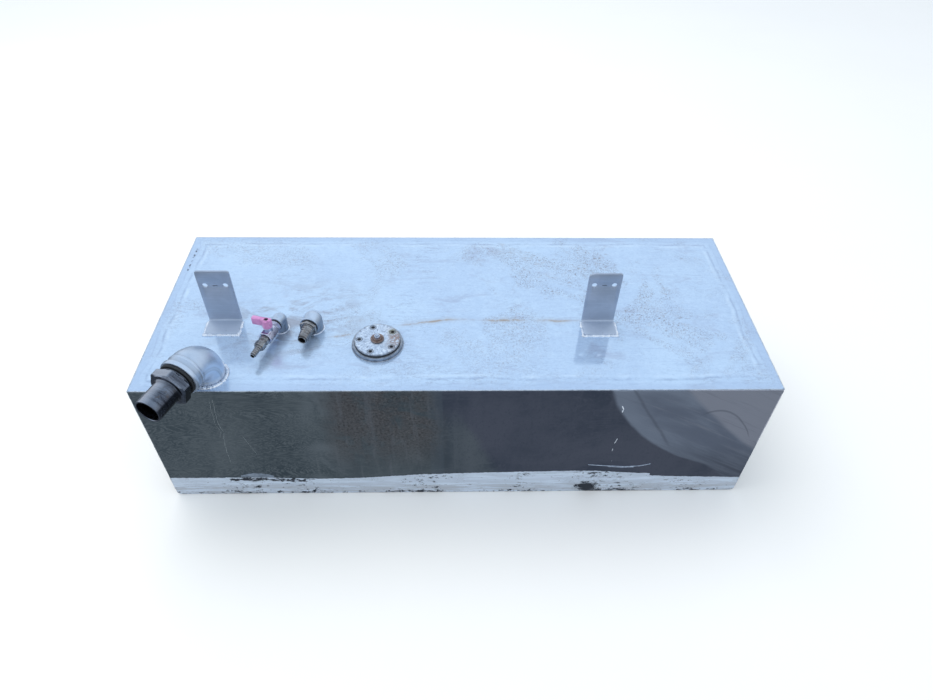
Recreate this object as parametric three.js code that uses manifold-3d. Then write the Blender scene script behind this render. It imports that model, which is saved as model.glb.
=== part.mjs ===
// Rectangular welded stainless-steel fuel tank with its top fittings.
// Millimetres, +Z up. The origin is the centre of the tank's flat bottom, +X runs along the
// long side and the front face looks towards -Y.

import * as THREE from 'three';
import { mergeVertices } from 'three/addons/utils/BufferGeometryUtils.js';
import Module from 'manifold-3d';

const wasm = await Module();
wasm.setup();

// ---------------------------------------------------------------- driving dimensions

const TANK = { width: 930, depth: 370, height: 253, sheet: 2, endRadius: 9, lidRadius: 4 };
const GAP = 0.3;              // left between neighbours that touch or screw together
const RIGHT_ANGLE = Math.PI / 2;

const LID_TOP = TANK.height;
const LID_UNDERSIDE = TANK.height - TANK.sheet;
const INSIDE_DEPTH = TANK.depth - 2 * TANK.sheet;

const BAFFLE = { x: -37, notch: 28, holeRadius: 32, holeSpacing: 190, ventRadius: 9 };

const BRACKET = {
  width: 50, sheet: 3, bend: 3, foot: 34, cornerRadius: 4, holeRadius: 4, holeSpacing: 30,
};
const BRACKETS = [
  { name: 'bracket_left', x: -359.6, back: -36.5, height: 97, holeHeight: 71 },
  { name: 'bracket_right', x: 217, back: -39.5, height: 95, holeHeight: 74 },
];

// Filler: a 1 1/2 inch elbow with a threaded hose tail for 38 mm hose.
const FILLER = {
  x: -357.7, y: -153.5, heading: -111.3, rise: 43, reach: 50, bend: 35.5,
  legRadius: 23.2, throatRadius: 26.7, rimRadius: 28.3, boreRadius: 19, socketRadius: 22, rimWidth: 7,
  holeRadius: 19, seal: { radius: 26, thickness: 4 },
};
const FILLER_TAIL = {
  thread: 10, collarNear: 55, collar: 1.8, hexNear: 58, hexFar: 73, flats: 51.5, root: 1.5,
  radius: 18.6, bore: 16, tip: 112.5, turn: 16,
};

// Outlet: a small elbow that carries a mini ball valve and a hose tail for 8 mm hose.
const OUTLET = {
  x: -271.7, y: -56.2, heading: -107.7, rise: 18.6, reach: 11.5,
  legRadius: 10.9, boreRadius: 4, socketRadius: 6.6, socketDepth: 7.2, holeRadius: 5.3,
  seal: { radius: 10, thickness: 1.5 },
};
const DIP_TUBE = { bottom: 22, wall: 1 };
const VALVE = {
  near: 13.3, pivot: 31.5, far: 44.5, flats: 18.8, thread: 8, threadRadius: 6.3, port: 3,
  cavity: 7.2, cavityReach: 8.2, ball: 6.2, boss: 6.5, bossTop: 13.2,
};
const SEAT = { back: 7.9, face: 4.4, mouth: 4.9, throatFrom: 6.6, throat: 3.4 };
const STEM = {
  radius: 2.9, square: 4, squareHeight: 7, tangWidth: 4.6, tangThickness: 1.8, tangDepth: 1.2, tapped: 6,
};
const STEM_SEAL = { bottom: 10, top: 12, radius: 4.2, bore: 3, pocket: 4.4 };
const LEVER = {
  bottom: 13.5, top: 28, length: 22.3, behind: 7.5, width: 7.5, height: 11.5, hub: 7.3, corner: 1.2,
  skew: 3, square: 4.6, socket: 7.3, recess: 3.5, recessRadius: 3, screwHole: 1.6,
};
const LEVER_SCREW = { shank: 1.25, length: 8.5, head: 2.6, headHeight: 2, slot: 1.4, slotDepth: 1.1 };
const OUTLET_TAIL = {
  collar: 7.8, flats: 14.5, hexNear: 53.5, hexFar: 63.5, shoulder: 5.4, radius: 4.5, bore: 2.6, tip: 82,
};

// Vent: a small elbow with a stepped hose tail for 16 mm hose.
const VENT = {
  x: -222.3, y: -55, heading: -102.3, rise: 16, reach: 14,
  legRadius: 14.8, boreRadius: 7, socketRadius: 10.4, socketDepth: 10, holeRadius: 8,
  seal: { radius: 13, thickness: 1.5 },
};
const VENT_TAIL = {
  thread: 8, flats: 25, hexNear: 16.2, hexFar: 20.6, root: 9.3, tipRadius: 7.3, bore: 5, tip: 45.3,
};

// Level sender: a five-screw flange on a welded ring, with a float on a tube below it.
const SENDER = {
  x: -122, y: -91, ringRadius: 37.5, ringHeight: 6, holeRadius: 21, gasketRadius: 34.5, gasket: 2,
  flangeRadius: 34, flange: 2.5, pitchRadius: 27, screws: 5, holeFit: 2.8, firstScrew: 180,
};
const SCREW = { shank: 2.5, head: 4.7, headDepth: 2.2, length: 10, socketFlats: 3, socketDepth: 1.8 };
const TERMINAL = {
  stud: 2.4, studTip: 1.8, studBelow: 7, insulator: 5, shoulder: 9, shoulderHeight: 0.8,
  washer: 10, collar: 6.5, plateHeight: 1.5, nutFlats: 8, nutHeight: 4, top: 9.5,
};
const LEVEL = {
  tube: 7, bore: 6, bottom: 18, stop: 11, stopHeight: 2, lowerStop: 24, upperStop: 235,
  float: 17, floatBore: 7.8, floatHeight: 30, floatRound: 2,
};

// ---------------------------------------------------------------- materials

const metal = (color, roughness) => new THREE.MeshStandardMaterial({ color, roughness, metalness: 1 });
const plain = (color, roughness) => new THREE.MeshStandardMaterial({ color, roughness, metalness: 0 });

const FINISH = {
  wrapper: () => metal(0x6a7680, 0.4),
  face: () => metal(0x4b5660, 0.3),
  lid: () => metal(0xb4cbe6, 0.35),
  inner: () => metal(0x8f979e, 0.5),
  bracket: () => metal(0x8494b0, 0.45),
  elbow: () => metal(0xa9bcd8, 0.4),
  darkTail: () => metal(0x3c3a42, 0.5),
  bronze: () => metal(0x77746c, 0.5),
  nickel: () => metal(0x8d95a6, 0.4),
  rubber: () => plain(0x1d2024, 0.9),
  ptfe: () => plain(0xe9e9e4, 0.6),
  handle: () => plain(0xd187bf, 0.5),
  flange: () => metal(0xb9c8de, 0.4),
  rusty: () => metal(0x8a6456, 0.8),
  nylon: () => plain(0x2b2b2b, 0.6),
};

// ---------------------------------------------------------------- solid-making helpers

/** Swaps the winding of every triangle when the closed surface faces inwards. */
function facingOut(positions, triangles) {
  const corner = (i) => new THREE.Vector3().fromArray(positions, 3 * triangles[i]);
  let volume = 0;
  for (let i = 0; i < triangles.length; i += 3) {
    volume += corner(i).dot(corner(i + 1).cross(corner(i + 2)));
  }
  if (volume < 0) {
    triangles.reverse();
  }
  const geometry = new THREE.BufferGeometry();
  geometry.setAttribute('position', new THREE.Float32BufferAttribute(positions, 3));
  geometry.setIndex(triangles);
  return geometry;
}

/** Joins rings of points into one closed surface: capped at both ends, or looped back to the first. */
function skin(rings, looped) {
  const count = rings[0].length;
  const positions = rings.flat().flatMap((point) => point.toArray());
  const triangles = [];
  const spans = looped ? rings.length : rings.length - 1;
  for (let i = 0; i < spans; i++) {
    const here = i * count;
    const next = ((i + 1) % rings.length) * count;
    for (let j = 0; j < count; j++) {
      const k = (j + 1) % count;
      triangles.push(here + j, here + k, next + k, here + j, next + k, next + j);
    }
  }
  if (!looped) {
    const last = (rings.length - 1) * count;
    for (let j = 1; j < count - 1; j++) {
      triangles.push(0, j + 1, j, last, last + j, last + j + 1);
    }
  }
  return facingOut(positions, triangles);
}

/** Sections: each gives the distance from the axis at an angle. */
const round = (radius) => () => radius;
function polygon(sides, flats, cornerRadius = Infinity) {
  const sector = 2 * Math.PI / sides;
  return (angle) => {
    const fromFlat = ((angle % sector) + sector) % sector - sector / 2;
    return Math.min(cornerRadius, flats / 2 / Math.cos(fromFlat));
  };
}

/** One ring: a section set across a path in the XZ plane; tilt 0 is a path going up. */
function ring({ x, z, tilt }, section, count) {
  const points = [];
  for (let j = 0; j < count; j++) {
    const angle = 2 * Math.PI * j / count;
    const across = section(angle) * Math.cos(angle);
    const along = section(angle) * Math.sin(angle);
    points.push(new THREE.Vector3(x + across * Math.cos(tilt), along, z - across * Math.sin(tilt)));
  }
  return points;
}

const straightUp = (distance) => ({ x: 0, z: distance, tilt: 0 });

/** A turned piece from [distance, section] stations; looped when it has a hole right through. */
function turned(stations, { count = 24, looped = false, path = straightUp } = {}) {
  const rings = stations.map(([distance, section]) => ring(path(distance), section, count));
  return skin(rings, looped);
}

const tube = (from, to, outer, inner, count = 24) => turned(
  [[from, round(outer)], [to, round(outer)], [to, round(inner)], [from, round(inner)]],
  { count, looped: true },
);
const rod = (from, to, radius, count = 24) => turned(
  [[from, round(radius)], [to, round(radius)]],
  { count },
);

/** Stations of a hexagon with chamfered ends. */
function chamferedHex(from, to, flats, { chamfer = 0.8, trim = 0.4, cornerRadius = Infinity } = {}) {
  const hex = polygon(6, flats, cornerRadius);
  const end = round(flats / 2 - trim);
  return [[from, end], [from + chamfer, hex], [to - chamfer, hex], [to, end]];
}

/** A path that rises, turns a right angle towards +X and runs level. */
function bendPath(rise, bend) {
  const arc = bend * RIGHT_ANGLE;
  const upright = rise - bend;
  return (distance) => {
    if (distance <= upright) {
      return { x: 0, z: distance, tilt: 0 };
    }
    if (distance >= upright + arc) {
      return { x: bend + distance - upright - arc, z: rise, tilt: RIGHT_ANGLE };
    }
    const turn = (distance - upright) / bend;
    return { x: bend * (1 - Math.cos(turn)), z: upright + bend * Math.sin(turn), tilt: turn };
  };
}

function toManifold(geometry) {
  const bare = geometry.clone();
  bare.deleteAttribute('normal');
  bare.deleteAttribute('uv');
  const merged = mergeVertices(bare, 1e-4);
  return new wasm.Manifold(new wasm.Mesh({
    numProp: 3,
    vertProperties: new Float32Array(merged.attributes.position.array),
    triVerts: new Uint32Array(merged.index.array),
  }));
}

function fromManifold(solid) {
  const { vertProperties, triVerts } = solid.getMesh();
  const geometry = new THREE.BufferGeometry();
  geometry.setAttribute('position', new THREE.Float32BufferAttribute(vertProperties, 3));
  geometry.setIndex(Array.from(triVerts));
  return geometry;
}

/** Joins the added geometries, then cuts the removed ones out. */
function carved(added, removed) {
  let solid = toManifold(added[0]);
  added.slice(1).forEach((geometry) => {
    solid = solid.add(toManifold(geometry));
  });
  removed.forEach((geometry) => {
    solid = solid.subtract(toManifold(geometry));
  });
  return fromManifold(solid);
}

/** A flat outline in X and Z, extruded along Y from one place to another. */
function standing(outline, fromY, toY, curveSegments = 8) {
  const depth = toY - fromY;
  return new THREE.ExtrudeGeometry(outline, { depth, bevelEnabled: false, curveSegments })
    .rotateX(RIGHT_ANGLE)
    .translate(0, toY, 0);
}

/** A flat outline in X and Y, extruded upwards. */
function lying(outline, fromZ, toZ, curveSegments = 8) {
  const depth = toZ - fromZ;
  return new THREE.ExtrudeGeometry(outline, { depth, bevelEnabled: false, curveSegments })
    .translate(0, 0, fromZ);
}

function circlePoints(x, y, radius, count) {
  const points = [];
  for (let i = 0; i < count; i++) {
    const angle = 2 * Math.PI * i / count;
    points.push(new THREE.Vector2(x + radius * Math.cos(angle), y + radius * Math.sin(angle)));
  }
  return points;
}

const circle = (x, y, radius, count = 24) => new THREE.Path(circlePoints(x, y, radius, count));

function disc(radius, holes = []) {
  const outline = new THREE.Shape(circlePoints(0, 0, radius, 40));
  outline.holes.push(...holes);
  return outline;
}

function roundedRectangle(left, bottom, right, top, radius) {
  return new THREE.Shape()
    .moveTo(left + radius, bottom)
    .lineTo(right - radius, bottom)
    .absarc(right - radius, bottom + radius, radius, -RIGHT_ANGLE, 0, false)
    .lineTo(right, top - radius)
    .absarc(right - radius, top - radius, radius, 0, RIGHT_ANGLE, false)
    .lineTo(left + radius, top)
    .absarc(left + radius, top - radius, radius, RIGHT_ANGLE, Math.PI, false)
    .lineTo(left, bottom + radius)
    .absarc(left + radius, bottom + radius, radius, Math.PI, 3 * RIGHT_ANGLE, false);
}

function piece(name, geometry, material) {
  const mesh = new THREE.Mesh(geometry, material);
  mesh.name = name;
  return mesh;
}

function group(position, ...children) {
  const holder = new THREE.Group();
  holder.position.set(...position);
  holder.add(...children);
  return holder;
}

// ---------------------------------------------------------------- tank

/** The end wall, bottom and end wall in one bent sheet: half the outline, mirrored by the caller. */
function openTopOutline(inset) {
  const half = TANK.width / 2 - inset;
  const radius = TANK.endRadius - inset;
  return new THREE.Shape()
    .moveTo(-half, LID_UNDERSIDE)
    .lineTo(-half, inset + radius)
    .absarc(-half + radius, inset + radius, radius, Math.PI, 3 * RIGHT_ANGLE, false)
    .lineTo(half - radius, inset)
    .absarc(half - radius, inset + radius, radius, -RIGHT_ANGLE, 0, false)
    .lineTo(half, LID_UNDERSIDE);
}

function shellWrapper() {
  const outline = openTopOutline(0);
  const inner = openTopOutline(TANK.sheet).getPoints(8).reverse();
  inner.forEach((point) => outline.lineTo(point.x, point.y));
  return piece(
    'shell_wrapper',
    standing(outline, -INSIDE_DEPTH / 2, INSIDE_DEPTH / 2),
    FINISH.wrapper(),
  );
}

function facePanel(name, fromY) {
  return piece(name, standing(openTopOutline(0), fromY, fromY + TANK.sheet), FINISH.face());
}

function topPanel() {
  const outline = roundedRectangle(
    -TANK.width / 2, -TANK.depth / 2, TANK.width / 2, TANK.depth / 2, TANK.lidRadius,
  );
  [FILLER, OUTLET, VENT, SENDER].forEach((fitting) => {
    outline.holes.push(circle(fitting.x, fitting.y, fitting.holeRadius));
  });
  return piece('top_panel', lying(outline, LID_UNDERSIDE, LID_TOP), FINISH.lid());
}

/** A cross wall that stops the fuel surging: notched corners and two flow holes. */
function bafflePlate() {
  const half = INSIDE_DEPTH / 2;
  const bottom = TANK.sheet;
  const top = LID_UNDERSIDE;
  const { notch } = BAFFLE;
  const outline = new THREE.Shape()
    .moveTo(-half + notch, bottom)
    .lineTo(half - notch, bottom)
    .lineTo(half, bottom + notch)
    .lineTo(half, top - notch)
    .lineTo(half - notch, top)
    .lineTo(-half + notch, top)
    .lineTo(-half, top - notch)
    .lineTo(-half, bottom + notch);
  const middle = (bottom + top) / 2;
  outline.holes.push(circle(-BAFFLE.holeSpacing / 2, middle, BAFFLE.holeRadius));
  outline.holes.push(circle(BAFFLE.holeSpacing / 2, middle, BAFFLE.holeRadius));
  outline.holes.push(circle(0, top - notch, BAFFLE.ventRadius));
  const plate = standing(outline, 0, TANK.sheet).rotateZ(-RIGHT_ANGLE);
  return piece('baffle_plate', plate.translate(BAFFLE.x, 0, 0), FINISH.inner());
}

/** An angle bracket: foot towards the front, upright at the back with two bolt holes. */
function bracket({ name, x, back, height, holeHeight }) {
  const { width, sheet, bend, foot, cornerRadius } = BRACKET;
  const outer = bend + sheet;
  const side = new THREE.Shape()
    .moveTo(-foot, 0)
    .lineTo(-outer, 0)
    .absarc(-outer, outer, outer, -RIGHT_ANGLE, 0, false)
    .lineTo(0, height)
    .lineTo(-sheet, height)
    .lineTo(-sheet, outer)
    .absarc(-outer, outer, bend, 0, -RIGHT_ANGLE, true)
    .lineTo(-foot, sheet);
  const folded = standing(side, 0, width).rotateZ(RIGHT_ANGLE).translate(width / 2, 0, 0);
  const below = sheet;
  const front = roundedRectangle(-width / 2, -below - cornerRadius, width / 2, height, cornerRadius);
  [-1, 1].forEach((sign) => {
    front.holes.push(circle(sign * BRACKET.holeSpacing / 2, holeHeight, BRACKET.holeRadius, 16));
  });
  const trimmed = toManifold(folded).intersect(toManifold(standing(front, -foot - below, below)));
  return group([x, back, LID_TOP], piece(name, fromManifold(trimmed), FINISH.bracket()));
}

// ---------------------------------------------------------------- fittings

/** Sets pieces on the lid at a fitting's place, turned so that local +X is its heading. */
function onLid(fitting, ...children) {
  const holder = group([fitting.x, fitting.y, LID_TOP], ...children);
  holder.rotation.z = THREE.MathUtils.degToRad(fitting.heading ?? 0);
  return holder;
}

/** Lays pieces made along +Z down along the fitting's level leg. */
function alongLeg(fitting, ...children) {
  const holder = group([0, 0, fitting.rise], ...children);
  holder.rotation.y = RIGHT_ANGLE;
  return holder;
}

/** A wide elbow whose outside grows towards its mouth, which has a raised rim. */
function fillerElbow() {
  const { rise, reach, bend, legRadius, throatRadius, rimRadius, rimWidth } = FILLER;
  const steps = 7;
  const edge = 1;
  const upright = rise - bend;
  const arc = bend * RIGHT_ANGLE;
  const mouth = upright + arc + reach - bend;
  const outer = [[0, round(legRadius)]];
  const bore = [];
  for (let i = 0; i <= steps; i++) {
    const share = i / steps;
    const distance = upright + arc * share;
    outer.push([distance, round(THREE.MathUtils.lerp(legRadius, throatRadius, share))]);
    bore.unshift([distance, round(FILLER.boreRadius)]);
  }
  outer.push([mouth - rimWidth, round(throatRadius)]);
  outer.push([mouth - rimWidth + edge, round(rimRadius)]);
  outer.push([mouth - edge, round(rimRadius)]);
  outer.push([mouth, round(rimRadius - edge)]);
  const socket = [mouth, upright + arc + edge].map((distance) => [distance, round(FILLER.socketRadius)]);
  const stations = [...outer, ...socket, ...bore, [0, round(FILLER.boreRadius)]];
  const geometry = turned(stations, { count: 30, looped: true, path: bendPath(rise, bend) });
  return piece('filler_elbow', geometry, FINISH.elbow());
}

function fillerTail() {
  const { thread, collarNear, collar, hexNear, hexFar, flats, root, radius, bore, tip } = FILLER_TAIL;
  const threadRadius = FILLER.socketRadius - GAP;
  const edge = 1;
  const stations = [
    [FILLER.reach - thread, round(threadRadius)],
    [collarNear, round(threadRadius)],
    [collarNear, round(threadRadius + collar)],
    [hexNear, round(threadRadius + collar)],
    ...chamferedHex(hexNear, hexFar, flats, { chamfer: edge, trim: edge / 2, cornerRadius: 0.56 * flats }),
    [hexFar, round(radius + root)],
    [hexFar + 2 * edge, round(radius)],
    [tip - edge, round(radius)],
    [tip, round(radius - edge)],
    [tip, round(bore)],
    [FILLER.reach - thread, round(bore)],
  ];
  const tail = piece('filler_hose_tail', turned(stations, { count: 30, looped: true }), FINISH.darkTail());
  tail.rotation.z = THREE.MathUtils.degToRad(FILLER_TAIL.turn);
  return tail;
}

function sealRing(name, { reach, socketRadius, seal }) {
  const near = reach + GAP;
  return piece(name, tube(near, near + seal.thickness, seal.radius, socketRadius), FINISH.rubber());
}

/** A short elbow: a domed upright leg, with a slightly slimmer level leg and level bore. */
function domedElbow(name, { rise, reach, legRadius, boreRadius, socketRadius, socketDepth }) {
  const steps = 6;
  const edge = 1;
  const past = 1;
  const dome = [];
  for (let i = 0; i < steps; i++) {
    const angle = RIGHT_ANGLE * i / steps;
    dome.push([rise + legRadius * Math.sin(angle), round(legRadius * Math.cos(angle))]);
  }
  const upright = turned([[0, round(legRadius - edge)], [2 * edge, round(legRadius)], ...dome]);
  const bore = rod(-past, rise + boreRadius / 2, boreRadius);
  const level = [
    rod(0, reach, legRadius - GAP),
    rod(-past, reach, boreRadius - GAP),
    rod(reach - socketDepth, reach + past, socketRadius),
    rod(reach, 2 * reach, 2 * legRadius),
  ];
  const halfFacet = Math.PI / 24;   // keeps the edges of the two legs from meeting
  const [leg, ...cuts] = level.map((geometry) => geometry
    .rotateZ(halfFacet)
    .rotateY(RIGHT_ANGLE)
    .translate(0, 0, rise));
  return piece(name, carved([upright, leg], [bore, ...cuts]), FINISH.elbow());
}

/** A row of ridges that shrinks from one radius to another towards the hose end. */
function barbs(from, to, startRadius, endRadius, count, depth) {
  const slope = 0.92;
  const stations = [];
  const pitch = (to - from) / count;
  for (let i = 0; i < count; i++) {
    const radius = THREE.MathUtils.lerp(startRadius, endRadius, i / (count - 1));
    stations.push([from + pitch * i, round(radius)]);
    stations.push([from + pitch * (i + slope), round(radius - depth)]);
  }
  return stations;
}

function ventTail() {
  const { thread, flats, hexNear, hexFar, root, tipRadius, bore, tip } = VENT_TAIL;
  const threadRadius = VENT.socketRadius - GAP;
  const threadEnd = VENT.reach - thread;
  const barb = 0.7;
  const stations = [
    [threadEnd, round(threadRadius)],
    [hexNear, round(threadRadius)],
    ...chamferedHex(hexNear, hexFar, flats),
    ...barbs(hexFar, tip - 1, root, tipRadius, 5, barb),
    [tip, round(tipRadius - barb)],
    [tip, round(bore)],
    [threadEnd, round(bore)],
  ];
  return piece('vent_hose_tail', turned(stations, { looped: true }), FINISH.bronze());
}

// ---------------------------------------------------------------- ball valve

function valveBody() {
  const { near, pivot, far, flats, thread, threadRadius, port, cavity, cavityReach, boss, bossTop } = VALVE;
  const cavityStart = pivot - cavityReach;
  const threadEnd = near - thread;
  const stations = [
    [threadEnd, round(threadRadius)],
    [near + GAP, round(threadRadius)],
    ...chamferedHex(near + GAP, far, flats, { chamfer: 1, trim: 0.3 }),
    [far, round(cavity)],
    [cavityStart, round(cavity)],
    [cavityStart, round(port)],
    [threadEnd, round(port)],
  ];
  const body = turned(stations, { looped: true }).rotateZ(Math.PI / 6).rotateY(RIGHT_ANGLE);
  const past = 1;
  const stemBore = rod(0, bossTop + past, STEM.radius + GAP).translate(pivot, 0, 0);
  const sealPocket = rod(STEM_SEAL.bottom, bossTop + past, STEM_SEAL.pocket).translate(pivot, 0, 0);
  const tower = rod(cavity + past, bossTop, boss).translate(pivot, 0, 0);
  const geometry = carved([body, tower], [stemBore, sealPocket]);
  return group([0, 0, OUTLET.rise], piece('valve_body', geometry, FINISH.nickel()));
}

/** A seat ring whose conical face holds the ball; side is -1 upstream and 1 downstream. */
function valveSeat(name, side) {
  const { back, face, mouth, throatFrom, throat } = SEAT;
  const outer = VALVE.cavity - GAP;
  const profile = [[back, outer], [face, outer], [face, mouth], [throatFrom, throat], [back, throat]];
  const stations = profile.map(([distance, radius]) => [VALVE.pivot + side * distance, round(radius)]);
  return piece(name, turned(stations, { looped: true }), FINISH.ptfe());
}

/** The ball in its closed place: its bore lies across the flow, its slot takes the stem's tang. */
function valveBall() {
  const { ball, port } = VALVE;
  const past = 1;
  const sphere = new THREE.SphereGeometry(ball, 20, 12).rotateX(RIGHT_ANGLE);
  const bore = rod(-ball - past, ball + past, port).rotateX(RIGHT_ANGLE);
  const slotDepth = STEM.tangDepth + GAP;
  const slot = new THREE.BoxGeometry(2 * (ball + past), STEM.tangThickness + 2 * GAP, 2 * slotDepth)
    .translate(0, 0, ball);
  return piece('valve_ball', carved([sphere], [bore, slot]), FINISH.nickel());
}

/** The stem: a tang that sits in the ball's slot, a round shaft and a tapped square top. */
function valveStem() {
  const { radius, square, squareHeight, tangWidth, tangThickness, tangDepth, tapped } = STEM;
  const shoulder = VALVE.ball + 2 * GAP;
  const top = LEVER.bottom + squareHeight;
  const tangBottom = VALVE.ball - tangDepth;
  const tangTop = shoulder + 1;
  const tang = new THREE.BoxGeometry(tangWidth, tangThickness, tangTop - tangBottom)
    .translate(0, 0, (tangTop + tangBottom) / 2);
  const shaft = turned([
    [shoulder, round(radius)],
    [LEVER.bottom, round(radius)],
    [LEVER.bottom, polygon(4, square)],
    [top, polygon(4, square)],
    [top, round(LEVER.screwHole)],
    [top - tapped, round(LEVER.screwHole)],
  ]);
  return piece('valve_stem', carved([shaft, tang], []), FINISH.nickel());
}

function valveHandle() {
  const { bottom, top, length, behind, width, height, hub, corner, recess } = LEVER;
  const edge = 0.8;
  const past = 1;
  const body = turned([
    [bottom, round(hub - edge)],
    [bottom + edge, round(hub)],
    [top - height + past, round(hub)],
    [top - 2 * edge, round(hub - 2 * edge)],
  ]);
  const bar = roundedRectangle(-width / 2, -length, width / 2, behind, corner);
  const arm = lying(bar, top - height, top, 3).rotateZ(THREE.MathUtils.degToRad(LEVER.skew));
  const square = polygon(4, LEVER.square);
  const socket = turned([[bottom - past, square], [bottom + LEVER.socket, square]]);
  const collar = rod(bottom - past, bottom + GAP, STEM.radius + GAP);
  const screwHole = rod(bottom, top, LEVER.screwHole);
  const headRecess = rod(top - recess, top + past, LEVER.recessRadius);
  const geometry = carved([body, arm], [socket, collar, screwHole, headRecess]);
  return piece('valve_handle', geometry, FINISH.handle());
}

function handleScrew() {
  const { shank, length, head, headHeight, slot, slotDepth } = LEVER_SCREW;
  const edge = 0.4;
  const seat = LEVER.top - LEVER.recess + GAP;
  const top = seat + headHeight;
  const stations = [
    [seat - length, round(shank)],
    [seat, round(shank)],
    [seat, round(head)],
    [top - edge, round(head)],
    [top, round(head - edge)],
    [top, polygon(4, slot)],
    [top - slotDepth, polygon(4, slot)],
  ];
  return piece('handle_screw', turned(stations), FINISH.nickel());
}

function outletTail() {
  const { collar, flats, hexNear, hexFar, shoulder, radius, bore, tip } = OUTLET_TAIL;
  const { far, pivot, cavity, cavityReach } = VALVE;
  const thread = round(cavity - GAP);
  const threadEnd = pivot + cavityReach;
  const barb = 0.6;
  const shoulderEnd = hexFar + 3;
  const stations = [
    [threadEnd, thread],
    [far + GAP, thread],
    [far + GAP, round(collar)],
    [hexNear, round(collar)],
    ...chamferedHex(hexNear, hexFar, flats, { trim: 0.3 }),
    [hexFar, round(shoulder)],
    [shoulderEnd, round(shoulder)],
    ...barbs(shoulderEnd + GAP, tip - barb, radius, radius, 4, barb),
    [tip, round(radius - barb)],
    [tip, round(bore)],
    [threadEnd, round(bore)],
  ];
  return piece('outlet_hose_tail', turned(stations, { looped: true }), FINISH.bronze());
}

function outletDipTube() {
  const radius = OUTLET.holeRadius - GAP;
  const geometry = tube(DIP_TUBE.bottom, LID_TOP, radius, radius - DIP_TUBE.wall, 18);
  return group([OUTLET.x, OUTLET.y, 0], piece('outlet_dip_tube', geometry, FINISH.inner()));
}

// ---------------------------------------------------------------- level sender

function screwPlaces() {
  const places = [];
  for (let i = 0; i < SENDER.screws; i++) {
    const angle = THREE.MathUtils.degToRad(SENDER.firstScrew - i * 360 / SENDER.screws);
    places.push([SENDER.pitchRadius * Math.cos(angle), SENDER.pitchRadius * Math.sin(angle)]);
  }
  return places;
}

const GASKET_BOTTOM = SENDER.ringHeight;
const FLANGE_BOTTOM = GASKET_BOTTOM + SENDER.gasket;
const FLANGE_TOP = FLANGE_BOTTOM + SENDER.flange;

function boltHoles() {
  return screwPlaces().map(([x, y]) => circle(x, y, SENDER.holeFit, 12));
}

function senderRing() {
  const outline = disc(SENDER.ringRadius, [circle(0, 0, SENDER.holeRadius), ...boltHoles()]);
  return piece('sender_ring', lying(outline, 0, GASKET_BOTTOM), FINISH.bracket());
}

function senderGasket() {
  const outline = disc(SENDER.gasketRadius, [circle(0, 0, SENDER.holeRadius), ...boltHoles()]);
  return piece('sender_gasket', lying(outline, GASKET_BOTTOM, FLANGE_BOTTOM), FINISH.rubber());
}

/** A countersunk screw's outline, grown by a clearance when it cuts the hole. */
function screwStations(clearance) {
  const { shank, head, headDepth, length } = SCREW;
  return [
    [FLANGE_TOP - length, round(shank + clearance)],
    [FLANGE_TOP - headDepth - clearance, round(shank + clearance)],
    [FLANGE_TOP - clearance, round(head + clearance)],
  ];
}

function senderFlange() {
  const past = FLANGE_TOP + 1;
  const plate = lying(disc(SENDER.flangeRadius), FLANGE_BOTTOM, FLANGE_TOP);
  const countersinks = screwPlaces().map(([x, y]) => turned(
    [...screwStations(GAP), [past, round(SCREW.head + GAP)]],
    { count: 12 },
  ).translate(x, y, 0));
  const centre = rod(0, past, TERMINAL.insulator + GAP);
  return piece('sender_flange', carved([plate], [centre, ...countersinks]), FINISH.flange());
}

function senderScrews() {
  const socket = polygon(6, SCREW.socketFlats);
  return screwPlaces().map(([x, y], i) => {
    const stations = [
      ...screwStations(0),
      [FLANGE_TOP, socket],
      [FLANGE_TOP - SCREW.socketDepth, socket],
    ];
    const screw = piece(`sender_screw_${i + 1}`, turned(stations, { count: 12 }), FINISH.flange());
    screw.position.set(x, y, 0);
    return screw;
  });
}

function nut(name, fromZ) {
  const toZ = fromZ + TERMINAL.nutHeight;
  const bore = round(TERMINAL.stud + GAP);
  const stations = [
    ...chamferedHex(fromZ, toZ, TERMINAL.nutFlats, { chamfer: 0.6, trim: 0.2 }),
    [toZ, bore],
    [fromZ, bore],
  ];
  return piece(name, turned(stations, { looped: true }), FINISH.nickel());
}

/** The terminal in the middle: insulator, washer, collar, nut and stud, with a nut below. */
function terminalStack() {
  const { stud, studTip, studBelow, insulator, shoulder, washer, collar, nutHeight, top } = TERMINAL;
  const bore = stud + GAP;
  const shoulderTop = FLANGE_TOP + TERMINAL.shoulderHeight;
  const washerTop = shoulderTop + TERMINAL.plateHeight;
  const collarTop = washerTop + TERMINAL.plateHeight;
  const studTop = FLANGE_TOP + top;
  const bush = turned([
    [FLANGE_BOTTOM, round(insulator)],
    [FLANGE_TOP, round(insulator)],
    [FLANGE_TOP, round(shoulder)],
    [shoulderTop, round(shoulder)],
    [shoulderTop, round(bore)],
    [FLANGE_BOTTOM, round(bore)],
  ], { looped: true });
  const studStations = [
    [FLANGE_BOTTOM - studBelow, round(stud)],
    [studTop + studTip - stud, round(stud)],
    [studTop, round(studTip)],
  ];
  return [
    piece('terminal_insulator', bush, FINISH.nylon()),
    piece('terminal_washer', tube(shoulderTop, washerTop, washer, bore), FINISH.rusty()),
    piece('terminal_collar', tube(washerTop, collarTop, collar, bore), FINISH.rusty()),
    nut('terminal_nut', collarTop),
    nut('terminal_inner_nut', FLANGE_BOTTOM - nutHeight),
    piece('terminal_stud', turned(studStations, { count: 18 }), FINISH.nickel()),
  ];
}

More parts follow.
